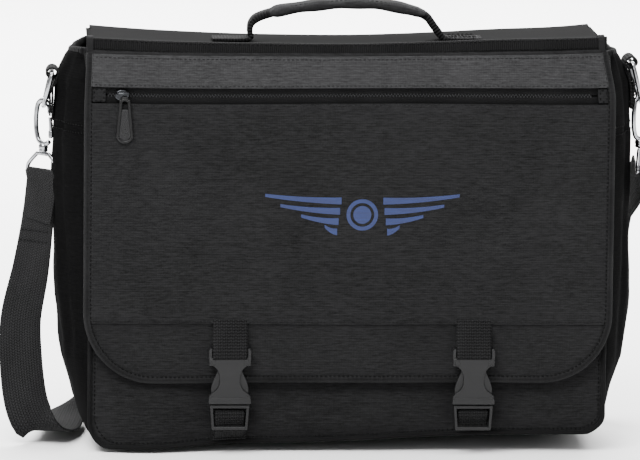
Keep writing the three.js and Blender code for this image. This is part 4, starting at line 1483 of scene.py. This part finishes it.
# The strap's stations, as (place, across) in mm. The last three differ from the CAD's route, to
# follow the photo.
STRAP_ROUTE_MM = [
    ((-221, 0, 187.4), (0.66, -0.75, 0)), ((-224, 0, 156), (0.70, -0.71, 0)),
    ((-229, 1, 120), (0.82, -0.57, 0)), ((-236, 1, 84), (0.92, -0.38, 0)),
    ((-236, -8, 56), (0.96, -0.26, 0)), ((-233, -20, 30), (0.97, -0.2, 0)),
    ((-228, -27, 15), (0.98, -0.18, 0)), ((-222, -28, 8.6), (0.98, -0.18, 0)),
    ((-216, -20, 4.8), (0.98, -0.18, 0)),
    ((-211, -6, 2.8), (0.98, -0.2, 0)), ((-207, 20, 1.7), (0.97, -0.24, 0)),
    ((-203, 60, 3), (0.96, -0.2, 0.1)), ((-194, 86, 12), (0.6, -0.3, 0.7)), ((-166, 98, 16.5), (0, 0, 1)),
    ((-110, 92, 16.5), (0, 0, 1)), ((-50, 86, 15), (0, -0.3, 0.9)), ((10, 84, 8), (0, -0.95, 0.3)),
    ((60, 84, 3.9), (0, -1, 0)), ((110, 84, 3.9), (0, -1, 0)), ((160, 85, 4.4), (0, -1, 0)),
    ((190, 84, 20), (0, -1, 0)),
    ((203, 78, 60), (0, -1, 0.1)), ((208, 60, 110), (0.05, -1, 0.05)), ((210, 36, 160), (0.1, -1, 0.05)),
    ((214, 5, 192.4), (0.12, -0.99, 0)),
]


def strap_fold(name, loop_z, end, across, facing):
    """The strap's end goes round the loop's bar and is sewn back on itself."""
    bar = ring_place(name)
    centre = np.array((bar.x - SIDES[name][0] * HOOK_LEAN[name], 0.0, loop_z))
    out = np.array(facing, float)
    r = 2.7 * MM
    back = np.array(end, float)
    around = [(1.5 * MM, -9 * MM), (r, -1 * MM), (r * 0.75, r * 0.8), (0, r * 1.1), (-r * 0.75, r * 0.8),
              (-r, -1 * MM), (-1.5 * MM, -9 * MM)]
    path = [back + out * 1.1 * MM]
    path += [centre + out * u + np.array((0, 0, v)) for u, v in around]
    path.append(back - out * 1.1 * MM)
    profile = tape_profile(STRAP_WIDTH, 1.5 * MM, 3, 10)
    return sweep("fold", spline(path, 60), across, profile, "strap_webbing")


def shoulder_strap():
    route = np.array([[*p, *(np.array(w) * 40)] for p, w in STRAP_ROUTE_MM], float)
    even = spline(route, 240)
    line, across = even[:, :3] * MM, even[:, 3:]
    made = sweep("strap", line, across, tape_profile(STRAP_WIDTH, 1.8 * MM, 3, 12), "strap_webbing")
    left_facing, right_facing = (-0.75, -0.66, 0), (0.99, 0.12, 0)
    first = strap_fold("left", LOOP_BAR_Z["left"], line[8], across[0], left_facing)
    last = strap_fold("right", LOOP_BAR_Z["right"], line[-9], across[-1], right_facing)
    whole = joined("shoulder_strap_webbing", [made, first, last])
    on(whole, "bag", "webbing", "shoulder_strap")
    runs = []
    for i in (10, 12):
        a = across[i] / np.linalg.norm(across[i])
        middle = line[i] + np.array(left_facing) * 1.9 * MM
        runs.append((np.array([middle - a * 14 * MM, middle + a * 14 * MM]), left_facing))
    on(stitches("strap_end_stitching", runs), "bag", "webbing")

    low, high = span("strap_adjuster")
    middle = (low + high) / 2
    parts = []
    for a, b in ((low.x, low.x + 4 * MM), (middle.x - 2 * MM, middle.x + 2 * MM),
                 (high.x - 4 * MM, high.x)):
        front, back = low.y + 0.5 * MM, high.y - 0.5 * MM
        parts.append(brick("bar", (a, front, high.z - 3 * MM), (b, back, high.z), "plastic", 0.8 * MM))
        parts.append(brick("foot", (a, front, low.z), (b, back, low.z + 1.4 * MM), "plastic", 0.4 * MM))
    for a, b in ((low.y, low.y + 3.4 * MM), (high.y - 3.4 * MM, high.y)):
        parts.append(brick("end", (low.x, a, low.z), (high.x, b, high.z), "plastic", 1.1 * MM))
    on(joined("strap_slide_buckle", parts), "bag", "buckle_plastic", "strap_adjuster")


# ---------------------------------------------------------------- floor, light and camera

def stage():
    bpy.ops.mesh.primitive_plane_add(size=12, location=(0, 0, FLOOR_Z))
    floor = bpy.context.object
    floor.name = "floor"
    n = Nodes("floor", rough=0.9)
    n.set("Base Color", (0.92, 0.92, 0.92, 1))
    floor.data.materials.append(n.material)


def area_light(name, place, target, size, power):
    light = bpy.data.lights.new(name, "AREA")
    light.shape = "RECTANGLE"
    light.size, light.size_y = size
    light.energy = power
    made = bpy.data.objects.new(name, light)
    made.location = place
    made.rotation_euler = (Vector(target) - Vector(place)).to_track_quat("-Z", "Y").to_euler()
    bpy.context.scene.collection.objects.link(made)


def studio():
    world = bpy.data.worlds.new("studio")
    world.use_nodes = True
    world.node_tree.nodes["Background"].inputs["Color"].default_value = (1, 1, 1, 1)
    world.node_tree.nodes["Background"].inputs["Strength"].default_value = 0.85
    bpy.context.scene.world = world
    middle = (0, 0, 0.15)
    area_light("key", (-0.7, -1.5, 1.9), middle, (1.4, 0.9), 88)
    area_light("top", (0.0, -0.2, 2.0), middle, (2.4, 1.6), 60)
    area_light("floor_wash", (0.0, 2.6, 2.2), (0, 2.6, 0), (4.0, 2.4), 600)


ROLL = 0.6
VIEW_WIDTH = 0.4608
SENSOR = 36


def camera():
    """A long lens that takes in VIEW_WIDTH metres at its target, a little above and to the left."""
    azimuth, elevation, distance = math.radians(-3.0), math.radians(8.0), 4.0
    target = Vector((-21.0 * MM, -60 * MM, 158.0 * MM))
    level_back = math.cos(elevation)
    back = Vector((math.sin(azimuth) * level_back, -math.cos(azimuth) * level_back, math.sin(elevation)))
    data = bpy.data.cameras.new("camera")
    data.sensor_width = SENSOR
    data.lens = SENSOR * distance / VIEW_WIDTH
    made = bpy.data.objects.new("camera", data)
    made.location = target + back * distance
    level = back.to_track_quat("Z", "Y")
    made.rotation_euler = (Quaternion(back, math.radians(ROLL)) @ level).to_euler()
    bpy.context.scene.collection.objects.link(made)
    bpy.context.scene.camera = made


camera()
body_shell()
piping()
body_seams()
shell_rims()
divider()
organizer()
base_board()
flap_face()
flap_binding()
flap_seams()
fold_cloth()
flap_cover()
front_band()
hinge_cloth()
emblem()
zip_tapes()
zip_coil()
zip_ends()
zip_slider()
zip_pull()
buckles()
buckle_straps()
handle_grip()
handle_webbing()
ring_tabs()
d_rings()
hooks()
shoulder_strap()
stage()
studio()
